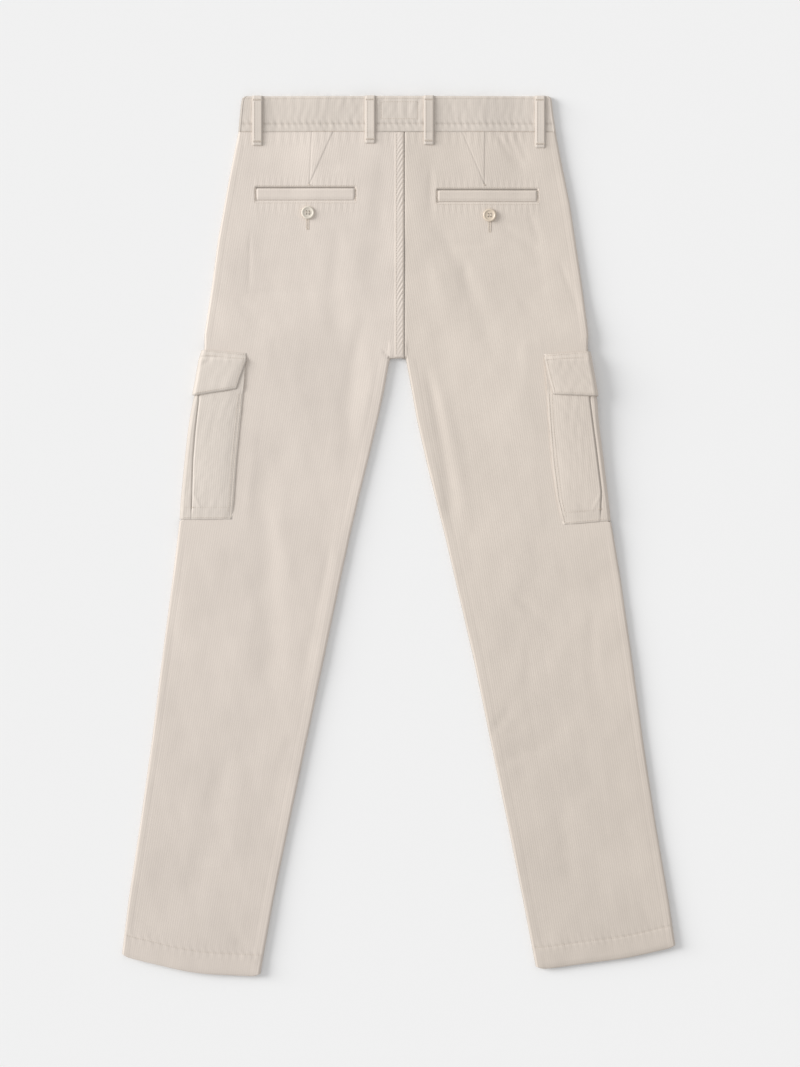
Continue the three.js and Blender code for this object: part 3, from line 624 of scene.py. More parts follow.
def corduroy(name, tone, lean):
    """Cut-pile cotton: soft streaks along the ribs, darker grooves and painted shade from the rib
    attribute, painted shade towards the hems, fine pile and a little sheen.
    """
    made = Shading(name)
    place = made.add("ShaderNodeTexCoord", None, "Object")
    turned = made.add("ShaderNodeMapping", place, "Vector", Rotation=(0, 0, math.atan(lean)))
    along = made.add("ShaderNodeMapping", turned, "Vector", Scale=(1.0, 0.055, 1.0))
    streak = made.noise(along, 230.0, 3.0, 0.6)
    cloud = made.noise(turned, 14.0, 4.0, 0.55)
    pile = made.noise(turned, 2600.0, 2.0, 0.7)
    colour = made.mix(streak, shaded(tone, 0.87), shaded(tone, 1.1))
    colour = made.mix(0.28, tone, colour)
    colour = made.toned(colour, cloud, (0.3, 0.7), (0.97, 1.03))
    colour = made.toned(colour, pile, (0.3, 0.7), (0.94, 1.05))
    # The rib attribute: each point's tone, with its painted shade.
    rib = made.add("ShaderNodeAttribute", None, "Fac", attribute_name="rib")
    colour = made.mix(1.0, colour, rib, "MULTIPLY")
    # Painted shade: the cloth darkens towards the hems, from 1.0 at Y 0.1 m to 0.91 at Y -0.5 m.
    height = made.add("ShaderNodeSeparateXYZ", place, "Y")
    colour = made.toned(colour, height, (-0.5, 0.1), (0.91, 1.0))
    finish = {"Roughness": 0.9, "Sheen_Weight": 0.12, "Sheen_Roughness": 0.45, "Specular_IOR_Level": 0.2}
    return made.finish(colour, pile, 0.35, 0.0004, **finish)


def simple_material(name, colour, roughness, metallic=0.0, grain=900.0):
    made = Shading(name)
    place = made.add("ShaderNodeTexCoord", None, "Object")
    noise = made.noise(place, grain, 3.0)
    mixed = made.mix(noise, shaded(colour, 0.86), shaded(colour, 1.08))
    return made.finish(mixed, noise, 0.3, 0.0001, Roughness=roughness, Metallic=metallic)


# One corduroy in several tones: the left leg's and left pocket's lighter copies are painted light, the
# right ones' darker copies painted shade.
BEIGE = linear(219, 209, 199)
CLOTH_LEFT = corduroy("corduroy_left", linear(226, 215, 205), LEFT["lean"])
CLOTH_RIGHT = corduroy("corduroy_right", linear(220, 209, 198), RIGHT["lean"])
CLOTH_STRAIGHT = corduroy("corduroy_straight", BEIGE, 0.0)
CLOTH_POCKET_LEFT = corduroy("corduroy_pocket_left", linear(225, 215, 205), 0.1)
CLOTH_POCKET_RIGHT = corduroy("corduroy_pocket_right", linear(219, 208, 197), -0.1)
THREAD = simple_material("thread", linear(214, 202, 189), 0.7, grain=2500.0)
HORN = simple_material("button_horn", linear(232, 223, 209), 0.35, grain=260.0)
HORN_TAN = simple_material("button_horn_tan", linear(214, 199, 180), 0.35, grain=260.0)
BRASS = simple_material("zip_brass", linear(165, 138, 88), 0.35, metallic=0.9)
TAPE = simple_material("zip_tape", linear(196, 184, 168), 0.85, grain=1800.0)


# Leg panels
def with_clusters(plain, lines, reach, step):
    """Evenly spaced values with closer ones around some lines."""
    extra = [line + d for line in lines for d in np.arange(-reach, reach + step / 2, step)]
    values = np.unique(np.round(np.concatenate([plain, extra]), 3))
    values = values[(values >= plain.min()) & (values <= plain.max())]
    return values[np.concatenate([[True], np.diff(values) > step * 0.6])]


def row_shares(leg, steps, fine):
    """Rows from the hem to the waist: the share of the slanted part, or the height above it."""
    shank_step, thigh_step, seat_step = steps
    along = np.arange(0, SHANK_LENGTH, shank_step)
    thigh = np.arange(SHANK_TOP_Y, CROTCH_Y - 2, thigh_step)
    seat = np.arange(CROTCH_Y, WAIST_SEAM_Y, seat_step)
    if fine:
        along = with_clusters(along, [HEM_DEPTH], 3.2, 0.8)
        along = with_clusters(along, [1.0], 1.0, 0.5)
        bag = LEFT_BAG if leg["side"] < 0 else RIGHT_BAG
        thigh = with_clusters(thigh, [(bag["y"][0] + bag["outer_y"][0]) / 2], 5.0, 1.0)
        _, _, low, high = welt_of(leg)
        seat = with_clusters(seat, [low - 1, high + 1.2], 2.8, 0.7)
        seat = with_clusters(seat, [WAIST_SEAM_Y - 1.5], 1.5, 0.75)
    shank = 1 - along / SHANK_LENGTH
    thigh = np.append(thigh[1:], CROTCH_Y - 1.5)
    return shank, np.concatenate([thigh, np.append(seat, WAIST_SEAM_Y)])


def panel_points(leg, seam_x, columns, rows, inset):
    """Places of a panel's grid in X and Y, with its ribs along the leg and its edges cut off."""
    shank, upper = rows
    hem = leg["hem"]
    t = np.concatenate([shank, np.zeros(len(upper))])[:, None]
    plain = np.concatenate([np.full(len(shank), SHANK_TOP_Y), upper])[:, None]
    y = plain - t * SHANK_LENGTH
    for _ in range(4):
        outer = at(leg["outer"], "x", y) - leg["side"] * inset
        inner = np.where(y < CROTCH_Y - 0.5, at(leg["inner"], "x", y) + leg["side"] * inset, seam_x)
        x = columns[None, :] + leg["lean"] * y
        x = np.clip(x, np.minimum(outer, inner), np.maximum(outer, inner))
        u = np.clip((x - outer) / (inner - outer), 0, 1)
        slant = hem["outer"] + (hem["inner"] - hem["outer"]) * u - SHANK_TOP_Y
        y = plain + t * slant + t**3 * hem_bend(leg, u)
    return x, y, outer, inner


def rounding(x, y, outer, inner):
    """0 on a folded edge, 1 where the cloth lies flat."""
    far = 1e3
    fold = np.where(y < CROTCH_Y - 0.5, np.abs(x - inner), far)
    fork = np.where((np.abs(x + 1.5) < 12) & (y >= CROTCH_Y - 0.5), y - CROTCH_Y + 0.6, far)
    nearest = np.minimum(np.abs(x - outer), np.minimum(fold, fork))
    t = 1 - np.clip(nearest / EDGE_ROUND, 0, 1)
    return np.sqrt(np.clip(1 - t * t, 0, 1))


def panel_surface(leg, seam_x, columns, rows, up, inset):
    """Points of a panel's outer face, or of its inner one by an inset, and their tones."""
    x, y, outer, inner = panel_points(leg, seam_x, columns, rows, inset)
    across = (x - leg["lean"] * y) / WALE_PITCH
    number = np.floor(across)
    strength = 0.88 + 0.12 * np.sin(number * 2.4) * np.sin(y / 37 + number * 1.7)
    ribs = wale(across)
    low = lift(leg, x, y)
    middle = (low + bare_top(leg, x, y)) / 2 + up * GAP / 2
    inner_x = np.where(y < CROTCH_Y - 0.5, at(leg["inner"], "x", y), seam_x)
    relief = WALE_DEPTH * strength * (ribs - 1)
    if up > 0:
        face = back_height(leg, x, y, inner_x) + relief + WALE_CREST - inset
    else:
        face = low - relief + inset
    flat = rounding(x, y, outer, inner)
    z = middle + (face - middle) * flat
    # Painted shade on the folded edges, by the left or right fold-shade constant, times the painted seam
    # shade.
    fold_shade = np.where(x < (at(leg["outer"], "x", y) + inner_x) / 2, LEFT_FOLD_SHADE, RIGHT_FOLD_SHADE)
    tone = rib_tone(ribs) * (1 - fold_shade * (1 - flat)) * (seam_tone(leg, x, y) if up > 0 else 1)
    return np.stack([x, y, z], 2), tone


def panel(leg, word, up):
    """A back panel on top, or a front panel underneath with plainer ribs."""
    per_wale = 5 if up > 0 else 3
    rows = row_shares(leg, (8.0, 6.0, 3.4) if up > 0 else (13.0, 13.0, 8.0), up > 0)
    fork = len(rows[0]) + int(np.searchsorted(rows[1], CROTCH_Y - 1))
    seam_x = (BACK_SEAM_X if up > 0 else FRONT_SEAM_X) + leg["side"] * GAP / 2
    reach = (45, 292) if leg["side"] < 0 else (42, 284)
    low, high = sorted(leg["side"] * r for r in reach)
    low = math.floor((low - 45) / WALE_PITCH) * WALE_PITCH
    columns = np.arange(low, high + 45, WALE_PITCH / per_wale)
    outer, tones = panel_surface(leg, seam_x, columns, rows, up, 0.0)
    inner, _ = panel_surface(leg, seam_x, columns, rows, up, CLOTH)
    kept = (fork - 2, fork - 1, fork, fork + 1)
    node = f"{'back' if up > 0 else 'front'}_{word}"
    cloth = CLOTH_LEFT if leg["side"] < 0 else CLOTH_RIGHT
    piece = shell_object(f"{node}_cloth", outer, inner, cloth, tones, 3, per_wale * 3, kept)
    finish_piece(piece, [node])


# Waistband
def waist_low(x):
    return np.where(x < 0, lift(LEFT, x, WAIST_TOP_Y), lift(RIGHT, x, WAIST_TOP_Y))


def waist_high(x, y):
    rise = LAP_RISE * plateau(x, LAP_INNER_X, LAP_OUTER_X + 2, 30)
    base = np.maximum(waist_low(x), waist_lift(x, WAIST_TOP_Y))
    return base + at(THICKNESS, "thick", y) + rise


def waist_relief(x, y):
    """Wrinkles, topstitching lines and rounded edges of the waistband's visible side."""
    relief = 0.25 * crease_height(WAIST_WRINKLES, x, y) + 0.12 * ripple(x, y, 11)
    relief += 0.05 * crinkle(x, y, 21)
    relief += groove(y - WAIST_SEWN_LOW_Y, 1.3, 0.45) + groove(y - WAIST_SEWN_HIGH_Y, 1.2, 0.3)
    relief += np.sin(2 * math.pi * (x + 0.4 * y) / 8.0) * ridge(y - WAIST_SEWN_LOW_Y, 5, 0.18)
    relief += groove(y - WAIST_TOP_Y, 1.5, 1.2) + groove(y - WAIST_SEAM_Y, 1.1, 0.5)
    for side in WAIST_PATCH_X:
        relief += groove(x - side, 1.1, 0.35) * plateau(y, 521, 543, 1)
    return relief


def at_height(xs, y, zs):
    return np.stack([xs, np.full(len(xs), y), zs], 1)


def folded_end(centre_x, side, y, turn, inset):
    """Rounded side edge of the waistband, joined to its relief."""
    high = waist_high(centre_x, y) + waist_relief(centre_x, y) + WALE_CREST - inset
    low = waist_low(centre_x) + inset
    z = (low + high) / 2 + (high - low) / 2 * np.sin(turn)
    return at_height(centre_x + side * EDGE_ROUND * np.cos(turn), y, z)


def waistband_rows():
    """Heights of the waistband's rows, closer at its seam and its top."""
    foot = np.linspace(WAIST_SEAM_Y + 0.06, 508, 4)[:-1]
    middle = np.linspace(508, WAIST_SEWN_HIGH_Y, 16)[:-1]
    return np.concatenate([foot, middle, np.linspace(WAIST_SEWN_HIGH_Y, WAIST_TOP_Y, 5)])


def waistband_surface(inset):
    """Points and tones of the whole strip: under from the lap, over the back, and under again."""
    per_wale = 4
    top_count = int(WAIST_ACROSS / WALE_PITCH) * per_wale
    under_count = int(WAIST_UNDER / WALE_PITCH) * 2
    turn = np.linspace(-math.pi / 2, math.pi / 2, 9)
    top_ribs = wale(np.arange(top_count + 1) / per_wale)
    under_ribs = wale(np.arange(under_count) / 2)
    under_relief = 0.5 * WALE_DEPTH * (1 - under_ribs) + inset
    points, tones = [], []
    for y in waistband_rows():
        left = at(WAISTBAND, "left", y) + inset + EDGE_ROUND
        right = at(WAISTBAND, "right", y) - inset - EDGE_ROUND
        fade = 0.45 + 0.55 * plateau(y, WAIST_SEWN_LOW_Y + 1, 560, 3)
        # Painted shade along the lower sewn line and the waistband seam.
        seam = line_tone(y - WAIST_SEWN_LOW_Y, 0.8, 0.1) * line_tone(y - WAIST_SEAM_Y, 1.0, 0.1)
        lap = np.linspace(LAP_INNER_X, right, under_count)
        step_up = LAP_STEP * (1 - plateau(lap, 46, 1e3, 18))
        back = right + (left - right) * np.linspace(0, 1, top_count + 1)
        relief = 0.75 * WALE_DEPTH * fade * (top_ribs - 1) + WALE_CREST - inset
        under = np.linspace(left, LAP_OUTER_X, under_count)
        points.append(np.concatenate([
            at_height(lap, y, waist_low(lap) + step_up + under_relief),
            folded_end(right, 1, y, turn, inset),
            at_height(back, y, waist_high(back, y) + waist_relief(back, y) + relief),
            folded_end(left, -1, y, -turn, inset),
            at_height(under, y, waist_low(under) + under_relief),
        ]))
        # Tones: groove shade and painted seam shade on the flat parts; painted shade on the rounded ends by
        # the fold-shade constants, none on the right end.
        tones.append(np.concatenate([
            rib_tone(under_ribs) * seam,
            1 - RIGHT_FOLD_SHADE * np.cos(turn),
            rib_tone(top_ribs) * seam,
            1 - LEFT_FOLD_SHADE * np.cos(turn),
            rib_tone(under_ribs) * seam,
        ]))
    return np.array(points), np.array(tones)


def waistband():
    outer, tones = waistband_surface(0.0)
    inner, _ = waistband_surface(WAIST_CLOTH)
    piece = shell_object("waistband_cloth", outer, inner, CLOTH_STRAIGHT, tones, 3, 4)
    finish_piece(piece, ["waistband"])


# Cargo pockets and flaps
def wrap_surface(leg, rows, cloth, columns, row_count, top, bottom, inset):
    """Cloth that wraps the side edge, with ribs parallel to the fold and its sewn edges cut off."""
    edge_rows = (0.003, 0.007, 0.012, 0.988, 0.994)
    v = np.sort(np.concatenate([np.linspace(0, 1, row_count), edge_rows]))
    y_index = rows["y"][0] + (rows["y"][-1] - rows["y"][0]) * v
    outer_y = np.interp(y_index, rows["y"], rows["outer_y"])[:, None]
    sewn = at(rows, "sewn", y_index)[:, None]
    edge = at(rows, "outer", y_index)[:, None]
    side = leg["side"]
    radius = EDGE_ROUND + GAP + cloth
    arc_length = radius * math.pi / 2
    centre = edge - side * radius
    reach = arc_length + np.abs(centre - sewn)
    q = np.clip(columns[None, :], -reach, reach)
    flat_x = centre - side * np.maximum(np.abs(q) - arc_length, 0)
    share = np.clip((flat_x - sewn) / (edge - sewn), 0, 1)
    y = y_index[:, None] + (outer_y - y_index[:, None]) * share
    angle = np.clip(np.abs(q) / arc_length, 0, 1) * math.pi / 2
    x = np.where(np.abs(q) < arc_length, centre + side * (radius - inset) * np.cos(angle), flat_x)
    ribs = wale(q / WALE_PITCH)
    relief = WALE_DEPTH * (ribs - 1)
    high = top(x, y) + relief + WALE_CREST - inset
    if inset:
        high = np.maximum(high, bare_top(leg, x, y) + GAP / 2)
    low = bottom(x, y) - 0.6 * relief + inset
    middle = (top(centre, y) + bottom(centre, y)) / 2
    face = np.where(q >= 0, high, low)
    # Painted shade on the fold round the side edge, on the left leg's pieces; the right constant is zero.
    folded = 1 - (LEFT_FOLD_SHADE if side < 0 else RIGHT_FOLD_SHADE) * (1 - np.sin(angle)) ** 0.7
    return np.stack([x, y, middle + (face - middle) * np.sin(angle)], 2), rib_tone(ribs) * folded


def wrapped(leg, rows, cloth, half_width, row_count, top, bottom):
    """Outer and inner face of a wrapped piece, and the tones of its outer one."""
    count = math.ceil(half_width / WALE_PITCH) * 5
    columns = np.arange(-count, count + 1) * WALE_PITCH / 5
    outer, tones = wrap_surface(leg, rows, cloth, columns, row_count, top, bottom, 0.0)
    inner, _ = wrap_surface(leg, rows, cloth, columns, row_count, top, bottom, cloth)
    return outer, inner, tones


def pocket_edges(rows, x, y):
    """Distance from the sewn side, and the heights of the foot and head there."""
    from_sewn = np.abs(x - at(rows, "sewn", y))
    across = np.clip(from_sewn / 60, 0, 1)
    foot = rows["y"][0] + (rows["outer_y"][0] - rows["y"][0]) * across
    head = rows["y"][-1] + (rows["outer_y"][-1] - rows["y"][-1]) * across
    return from_sewn, foot, head


def visible_tone(leg, points, tone):
    """A tone on the visible face, and none on the hidden one."""
    x, y, z = (points[:, :, k] for k in range(3))
    return np.where(z > bare_top(leg, x, y) - 1, tone, 1.0)


def bag_relief(leg, rows, pleat, x, y):
    """Pressed edges, sewn line, pleat and a soft swell of the pocket's visible face."""
    from_sewn, foot, _ = pocket_edges(rows, x, y)
    from_foot = y - foot
    edge = groove(from_sewn, 1.2, 0.5) + groove(from_sewn, 10, 1.1)
    edge += groove(from_foot, 1.2, 0.6) + groove(from_foot, 8, 0.95)
    sewing = groove(from_sewn - 3.2, 0.8, 0.2) + groove(from_foot - BAG_HEM, 1.0, 0.25)
    swell = 0.4 * plateau(from_sewn, 26, 36, 22) * plateau(from_foot, 60, 150, 40)
    inside = leg["side"] * (at(pleat, "x", y) - x)
    opened = 0.25 + 0.75 * plateau(from_foot, BAG_HEM, 400, 8)
    lip = 0.55 * plateau(inside, 1.2, 400, 1.6) + groove(inside + 0.9, 0.9, 0.9)
    pinch = ridge(inside - 5 + (from_foot - 24) * 0.5, 2.2, 0.3) * plateau(from_foot, 18, 30, 8)
    return edge + sewing + swell + lip * opened + pinch + 0.03 * crinkle(x, y, 31 + leg["side"])


def bag_tone(leg, rows, pleat, x, y):
    """Shade under the pleat's lip and along the edges and sewn lines."""
    from_sewn, foot, _ = pocket_edges(rows, x, y)
    inside = leg["side"] * (at(pleat, "x", y) - x)
    opened = plateau(y, rows["y"][0] + 18, 400, 12)
    tone = line_tone(inside + 0.7, 0.8, 0.1 + 0.24 * opened)
    tone = tone * line_tone(from_sewn, 0.8, 0.16) * line_tone(from_sewn - 3.6, 0.6, 0.07)
    return tone * line_tone(y - foot, 0.8, 0.14) * line_tone(y - foot - BAG_HEM, 0.7, 0.08)


def bag_top(leg, rows, pleat, x, y):
    under_flap = plateau(y, 186, 400, 8)
    return bare_top(leg, x, y) + BAG_LIFT + bag_relief(leg, rows, pleat, x, y) * (1 - under_flap)


def cargo_bag(leg, word, rows, pleat, cloth_material):
    def top(x, y):
        return bag_top(leg, rows, pleat, x, y)

    def bottom(x, y):
        return lift(leg, x, y) - BAG_LIFT

    outer, inner, tones = wrapped(leg, rows, CLOTH, 76.0, 62, top, bottom)
    shade = bag_tone(leg, rows, pleat, outer[:, :, 0], outer[:, :, 1])
    tones = tones * visible_tone(leg, outer, shade)
    piece = shell_object(f"cargo_pocket_{word}_cloth", outer, inner, cloth_material, tones, 3, 10)
    finish_piece(piece, [f"cargo_pocket_{word}"])


def flap_relief(leg, rows, x, y):
    """Pressed edges, sewn lines, puckers and the curled foot of a flap's visible face."""
    from_sewn, foot, head = pocket_edges(rows, x, y)
    edge = groove(from_sewn, 1.2, 1.0) + groove(y - foot, 1.2, 1.0) + groove(y - head, 1.1, 0.7)
    edge += groove(from_sewn, 8, 0.8) + groove(y - head, 6, 1.0)
    sewing = groove(y - head + 7.6, 1.1, 0.35) + groove(from_sewn - 3.4, 0.8, 0.15)
    sewing += groove(y - foot - 3.2, 0.8, 0.15)
    pucker = np.sin(2 * math.pi * x / 9.0) * ridge(y - head + 9, 6, 0.08)
    curl = ridge(y - foot - 5, 9, 0.4) * plateau(from_sewn, 16, 50, 16)
    fold = groove(line_distance(np.abs(x), y, *LEFT_FLAP_FOLD), 3.2, 0.35) * (leg["side"] < 0)
    return edge + sewing + pucker + curl + fold + 0.04 * crinkle(x, y, 41 + leg["side"])


def flap_tone(rows, x, y):
    """Shade along the flap's edges and its sewn line."""
    from_sewn, foot, head = pocket_edges(rows, x, y)
    tone = line_tone(from_sewn, 1.1, 0.3) * line_tone(y - foot, 0.9, 0.26) * line_tone(y - head, 0.7, 0.1)
    return tone * line_tone(y - head + 7.6, 0.7, 0.12) * line_tone(from_sewn - 3.4, 0.6, 0.05)


def flap_top(leg, rows, x, y):
    over_bag = BAG_LIFT * (1 - plateau(y, FLAP_DROP_Y + 3, 400, 5))
    return bare_top(leg, x, y) + over_bag + FLAP_LIFT + flap_relief(leg, rows, x, y)


def cargo_flap(leg, word, rows, cloth_material):
    def top(x, y):
        return flap_top(leg, rows, x, y)

    def bottom(x, y):
        return lift(leg, x, y) - BAG_LIFT - FLAP_LIFT

    outer, inner, tones = wrapped(leg, rows, FLAP_CLOTH, 74.0, 34, top, bottom)
    tones = tones * visible_tone(leg, outer, flap_tone(rows, outer[:, :, 0], outer[:, :, 1]))
    piece = shell_object(f"cargo_flap_{word}_cloth", outer, inner, cloth_material, tones, 3, 10)
    finish_piece(piece, [f"cargo_flap_{word}"])


# Small strips: belt loops and welts
def strip(name, xs, ys, top, cloth, ribs, material, edge_shade=STRIP_EDGE_SHADE):
    """Flat strip of cloth with its ribs along Y and painted shade along its sides."""
    x, y = np.meshgrid(xs, ys)
    high = top(x, y)
    outer = np.stack([x, y, high + WALE_DEPTH * 0.8 * (ribs[None, :] - 1)], 2)
    inner = np.stack([x, y, high - cloth], 2)
    from_side = np.minimum(x - xs[0], xs[-1] - x)
    # Painted shade along both sides of the strip.
    tone = rib_tone(ribs)[None, :] * line_tone(from_side, 1.1, edge_shade)
    return shell_object(name, outer, inner, material, tone, 3, 5)


def strip_columns(low, high):
    count = max(2, round((high - low) / WALE_PITCH * 5))
    xs = np.linspace(low, high, count + 1)
    return xs, wale((xs - low) / WALE_PITCH + 0.5)


def loop_height(x, y, middle):
    """Top of a back belt loop, bulged over the waistband."""
    base = np.where(y > WAIST_SEAM_Y, waist_high(x, y), bare_top(leg_at(middle), x, y))
    return base + LOOP_LIFT + LOOP_BULGE * plateau(y, 512, 538, 10)


def belt_loops():
    for name, (middle, foot) in BACK_LOOPS.items():
        xs, ribs = strip_columns(middle - LOOP_WIDTH / 2, middle + LOOP_WIDTH / 2)
        head = WAIST_TOP_Y + 0.4

        def top(x, y):
            side = np.abs(x - middle)
            rounded = groove(side - LOOP_WIDTH / 2, 1.2, 1.0) + ridge(side - 4.4, 1.2, 0.1)
            ends = groove(y - foot, 1.4, 1.1) + groove(y - head, 1.8, 1.4)
            return loop_height(x, y, middle) + rounded + ends + groove(y - foot - 5, 2.0, 0.3)

        ys = np.linspace(foot, head, 44)
        piece = strip(f"{name}_cloth", xs, ys, top, LOOP_CLOTH, ribs, CLOTH_STRAIGHT)
        finish_piece(piece, [name])
    for name, (middle, foot) in FRONT_LOOPS.items():
        xs, ribs = strip_columns(middle - LOOP_WIDTH / 2, middle + LOOP_WIDTH / 2)
        x, y = np.meshgrid(xs, np.linspace(foot, WAIST_TOP_Y - 1.2, 30))
        ribs = ribs[None, :] + 0 * y
        outer = np.stack([x, y, 0.4 * (1 - ribs)], 2)
        inner = np.stack([x, y, LOOP_CLOTH + 0 * y], 2)
        piece = shell_object(f"{name}_cloth", outer, inner, CLOTH_STRAIGHT, rib_tone(ribs), 3, 5)
        finish_piece(piece, [name])


def welts():
    for name, (x1, x2, y1, y2) in WELTS.items():
        leg, back, cloth = (LEFT, "back_left", CLOTH_LEFT) if x1 < 0 else (RIGHT, "back_right", CLOTH_RIGHT)
        xs, ribs = strip_columns(x1, x2)

        def top(x, y):
            ends = groove(x - x1, 1.4, 1.1) + groove(x - x2, 1.4, 1.1)
            lips = groove(y - y1, 1.6, 0.9) + ridge(y - y2 + 2.5, 2.2, 0.15) + groove(y - y2, 0.8, 0.8)
            sewing = groove(y - y1 - 2.2, 1.0, 0.3)
            raised = GAP + WELT_CLOTH - WELT_SINK
            return bare_top(leg, x, y) + laid(leg, x, y) + raised + ends + lips + sewing

        piece = strip(f"{name}_cloth", xs, np.linspace(y1, y2, 16), top, WELT_CLOTH, ribs, cloth)
        finish_piece(piece, [name])


def fell_height(x, y):
    """Top of the seat seam's folded layer, with the diagonal puckers that its sewing draws."""
    across = (x - BACK_SEAM_X + FELL_WIDTH / 2) / (FELL_WIDTH / 2)
    dome = 1 - np.clip(np.abs(across), 0, 1) ** 3
    strength = (0.6 + 0.4 * np.sin(y / 31.0 + 1.1) * np.sin(y / 13.0)) * (0.55 + 0.45 * across)
    drift = 1.5 * np.sin(y / 19.0) + 0.9 * np.sin(y / 7.3 + 2) + 0.5 * across**2
    twist = np.sin(2 * math.pi * (y - 1.75 * x) / 7.6 + drift)
    base = back_height(LEFT, x, y, BACK_SEAM_X)
    ends = plateau(y, CROTCH_Y + 2, WAIST_SEAM_Y - 1, 2)
    return base + 0.12 + (0.35 * dome + 0.4 * strength * twist * dome) * ends


def seat_seam():
    # The fell strip gets a little painted shade along its sides.
    fell_cloth, fell_edge_shade = 0.7, 0.06
    xs, ribs = strip_columns(BACK_SEAM_X - FELL_WIDTH, BACK_SEAM_X - 0.4)
    ys = np.arange(CROTCH_Y + 0.8, WAIST_SEAM_Y - 0.2, 1.0)
    piece = strip("seat_seam_cloth", xs, ys, fell_height, fell_cloth, ribs, CLOTH_LEFT, fell_edge_shade)
    finish_piece(piece, [])


# Sewing: every stitch is a small thread capsule on the cloth
def capsule():
    """Points and faces of a rounded rod of length 1 along X and of radius 1."""
    rings = ((-0.5, 0.35), (-0.36, 0.9), (0.0, 1.0), (0.36, 0.9), (0.5, 0.35))
    sides = 6
    points, faces = [], []
    for along, size in rings:
        for k in range(sides):
            a = 2 * math.pi * k / sides
            points.append((along, size * math.cos(a), size * math.sin(a)))
    last = (len(rings) - 1) * sides
    for start in range(0, last, sides):
        for k in range(sides):
            a, b = start + k, start + (k + 1) % sides
            faces += [(a, b, b + sides), (a, b + sides, a + sides)]
    for k in range(1, sides - 1):
        faces += [(0, k + 1, k), (last, last + k, last + k + 1)]
    return np.array(points), np.array(faces)


stitches = {"top": [], "under": []}


def add_stitch(group, start, end, radius=STITCH_RADIUS):
    stitches[group].append((np.array(start, float), np.array(end, float), radius))


def stitch_line(corners, height, group="top"):
    """Stitches of one length along a line of corners in X and Y, set on the cloth by height(x, y)."""
    corners = np.array(corners, float)
    lengths = np.hypot(*np.diff(corners, axis=0).T)
    travelled = np.concatenate([[0], np.cumsum(lengths)])
    count = max(1, int(round(travelled[-1] / STITCH_PITCH)))
    for k in range(count):
        ends = []
        for share in (0.1, 0.9):
            d = (k + share) * travelled[-1] / count
            x, y = (np.interp(d, travelled, corners[:, axis]) for axis in (0, 1))
            ends.append((x, y, float(height(x, y))))
        add_stitch(group, *ends)


def closed_line(x1, x2, y1, y2):
    return [(x1, y1), (x2, y1), (x2, y2), (x1, y2), (x1, y1)]


def bar_tack(x, y, width, height):
    """Close zigzag of thread across a loop or a pocket's corner."""
    spacing, half, slant = 0.62, 1.1, 0.3
    for k in range(int(width / spacing)):
        px = x - width / 2 + (k + 0.5) * spacing
        slant = -slant
        z = float(height(px, y))
        add_stitch("top", (px + slant, y - half, z), (px - slant, y + half, z), 0.3)


def panel_z(x, y):
    return point_height(x, y) + 0.05


def waist_z(x, y):
    return waist_high(x, y) + waist_relief(x, y) + 0.12


def sew():
    sew_legs()
    sew_waist()
    sew_welts()
    for dart in DARTS.values():
        bar_tack(dart["foot"], DART_FOOT_Y - 1, 3.0, panel_z)
    sew_loops()
    sew_cargo(LEFT, LEFT_BAG, LEFT_FLAP, LEFT_PLEAT)
    sew_cargo(RIGHT, RIGHT_BAG, RIGHT_FLAP, RIGHT_PLEAT)
    sew_buttonholes()
    sew_fly()


def sew_legs():
    """Two lines along the seat seam, and the hems."""
    for x in (BACK_SEAM_X - 2.4, BACK_SEAM_X - FELL_WIDTH + 1.8):
        line = [(x, CROTCH_Y + 4), (x, WAIST_SEAM_Y - 2)]
        stitch_line(line, lambda x, y: fell_height(x, y) + 0.1)
    for leg in (LEFT, RIGHT):
        line = []
        for u in np.linspace(0.012, 0.988, 40):
            y = hem_line(leg, u) + HEM_DEPTH
            outer, inner = at(leg["outer"], "x", y), at(leg["inner"], "x", y)
            line.append((outer + (inner - outer) * u, y))
        stitch_line(line, panel_z)
        stitch_line(line, lambda x, y: UNDER_THREAD_Z, "under")


def sew_waist():
    """Both lines round the waistband, and the patch in the middle of the back."""
    for y in (WAIST_SEWN_LOW_Y, WAIST_SEWN_HIGH_Y):
        stitch_line([(-196, y), (191, y)], waist_z)
        stitch_line([(-196, y), (21, y)], lambda x, y: waist_low(x) + UNDER_THREAD_Z, "under")
        stitch_line([(28, y), (190, y)], lambda x, y: waist_low(x) + 0.3, "under")
    stitch_line(closed_line(*WAIST_PATCH_X, 521.6, 542.8), waist_z)


def sew_welts():
    """A line round each back pocket, and close whipping over its ends."""
    for x1, x2, y1, y2 in WELTS.values():
        stitch_line(closed_line(x1 - 2, x2 + 2, y1 - 3.6, y2 + 3.8), panel_z)
        for x in (x1 - 0.5, x2 + 0.5):
            for k in range(16):
                y = y1 - 1 + k * (y2 - y1 + 2) / 16
                z = panel_z(x, y) + 0.5
                add_stitch("top", (x - 0.8, y, z), (x + 0.8, y + 0.2, z), 0.24)


def sew_loops():
    for middle, foot in BACK_LOOPS.values():
        def loop_z(x, y):
            return loop_height(x, y, middle) + 0.1

        for y in (foot + 5.0, 545.5):
            bar_tack(middle, y, LOOP_WIDTH - 1.5, loop_z)
        for dx in (-4.3, 4.3):
            stitch_line([(middle + dx, foot + 8), (middle + dx, 543)], loop_z)


def sew_fly():
    """The curved line of the fly and the front seam, on the hidden side."""
    def hidden_z(x, y):
        return lift(LEFT, x, y) + UNDER_THREAD_Z

    x = FRONT_SEAM_X
    stitch_line([(x - 36, 503), (x - 36, 370), (x - 24, 345), (x - 2, 330)], hidden_z, "under")
    stitch_line([(x - 2, 500), (x - 2, CROTCH_Y + 6)], hidden_z, "under")


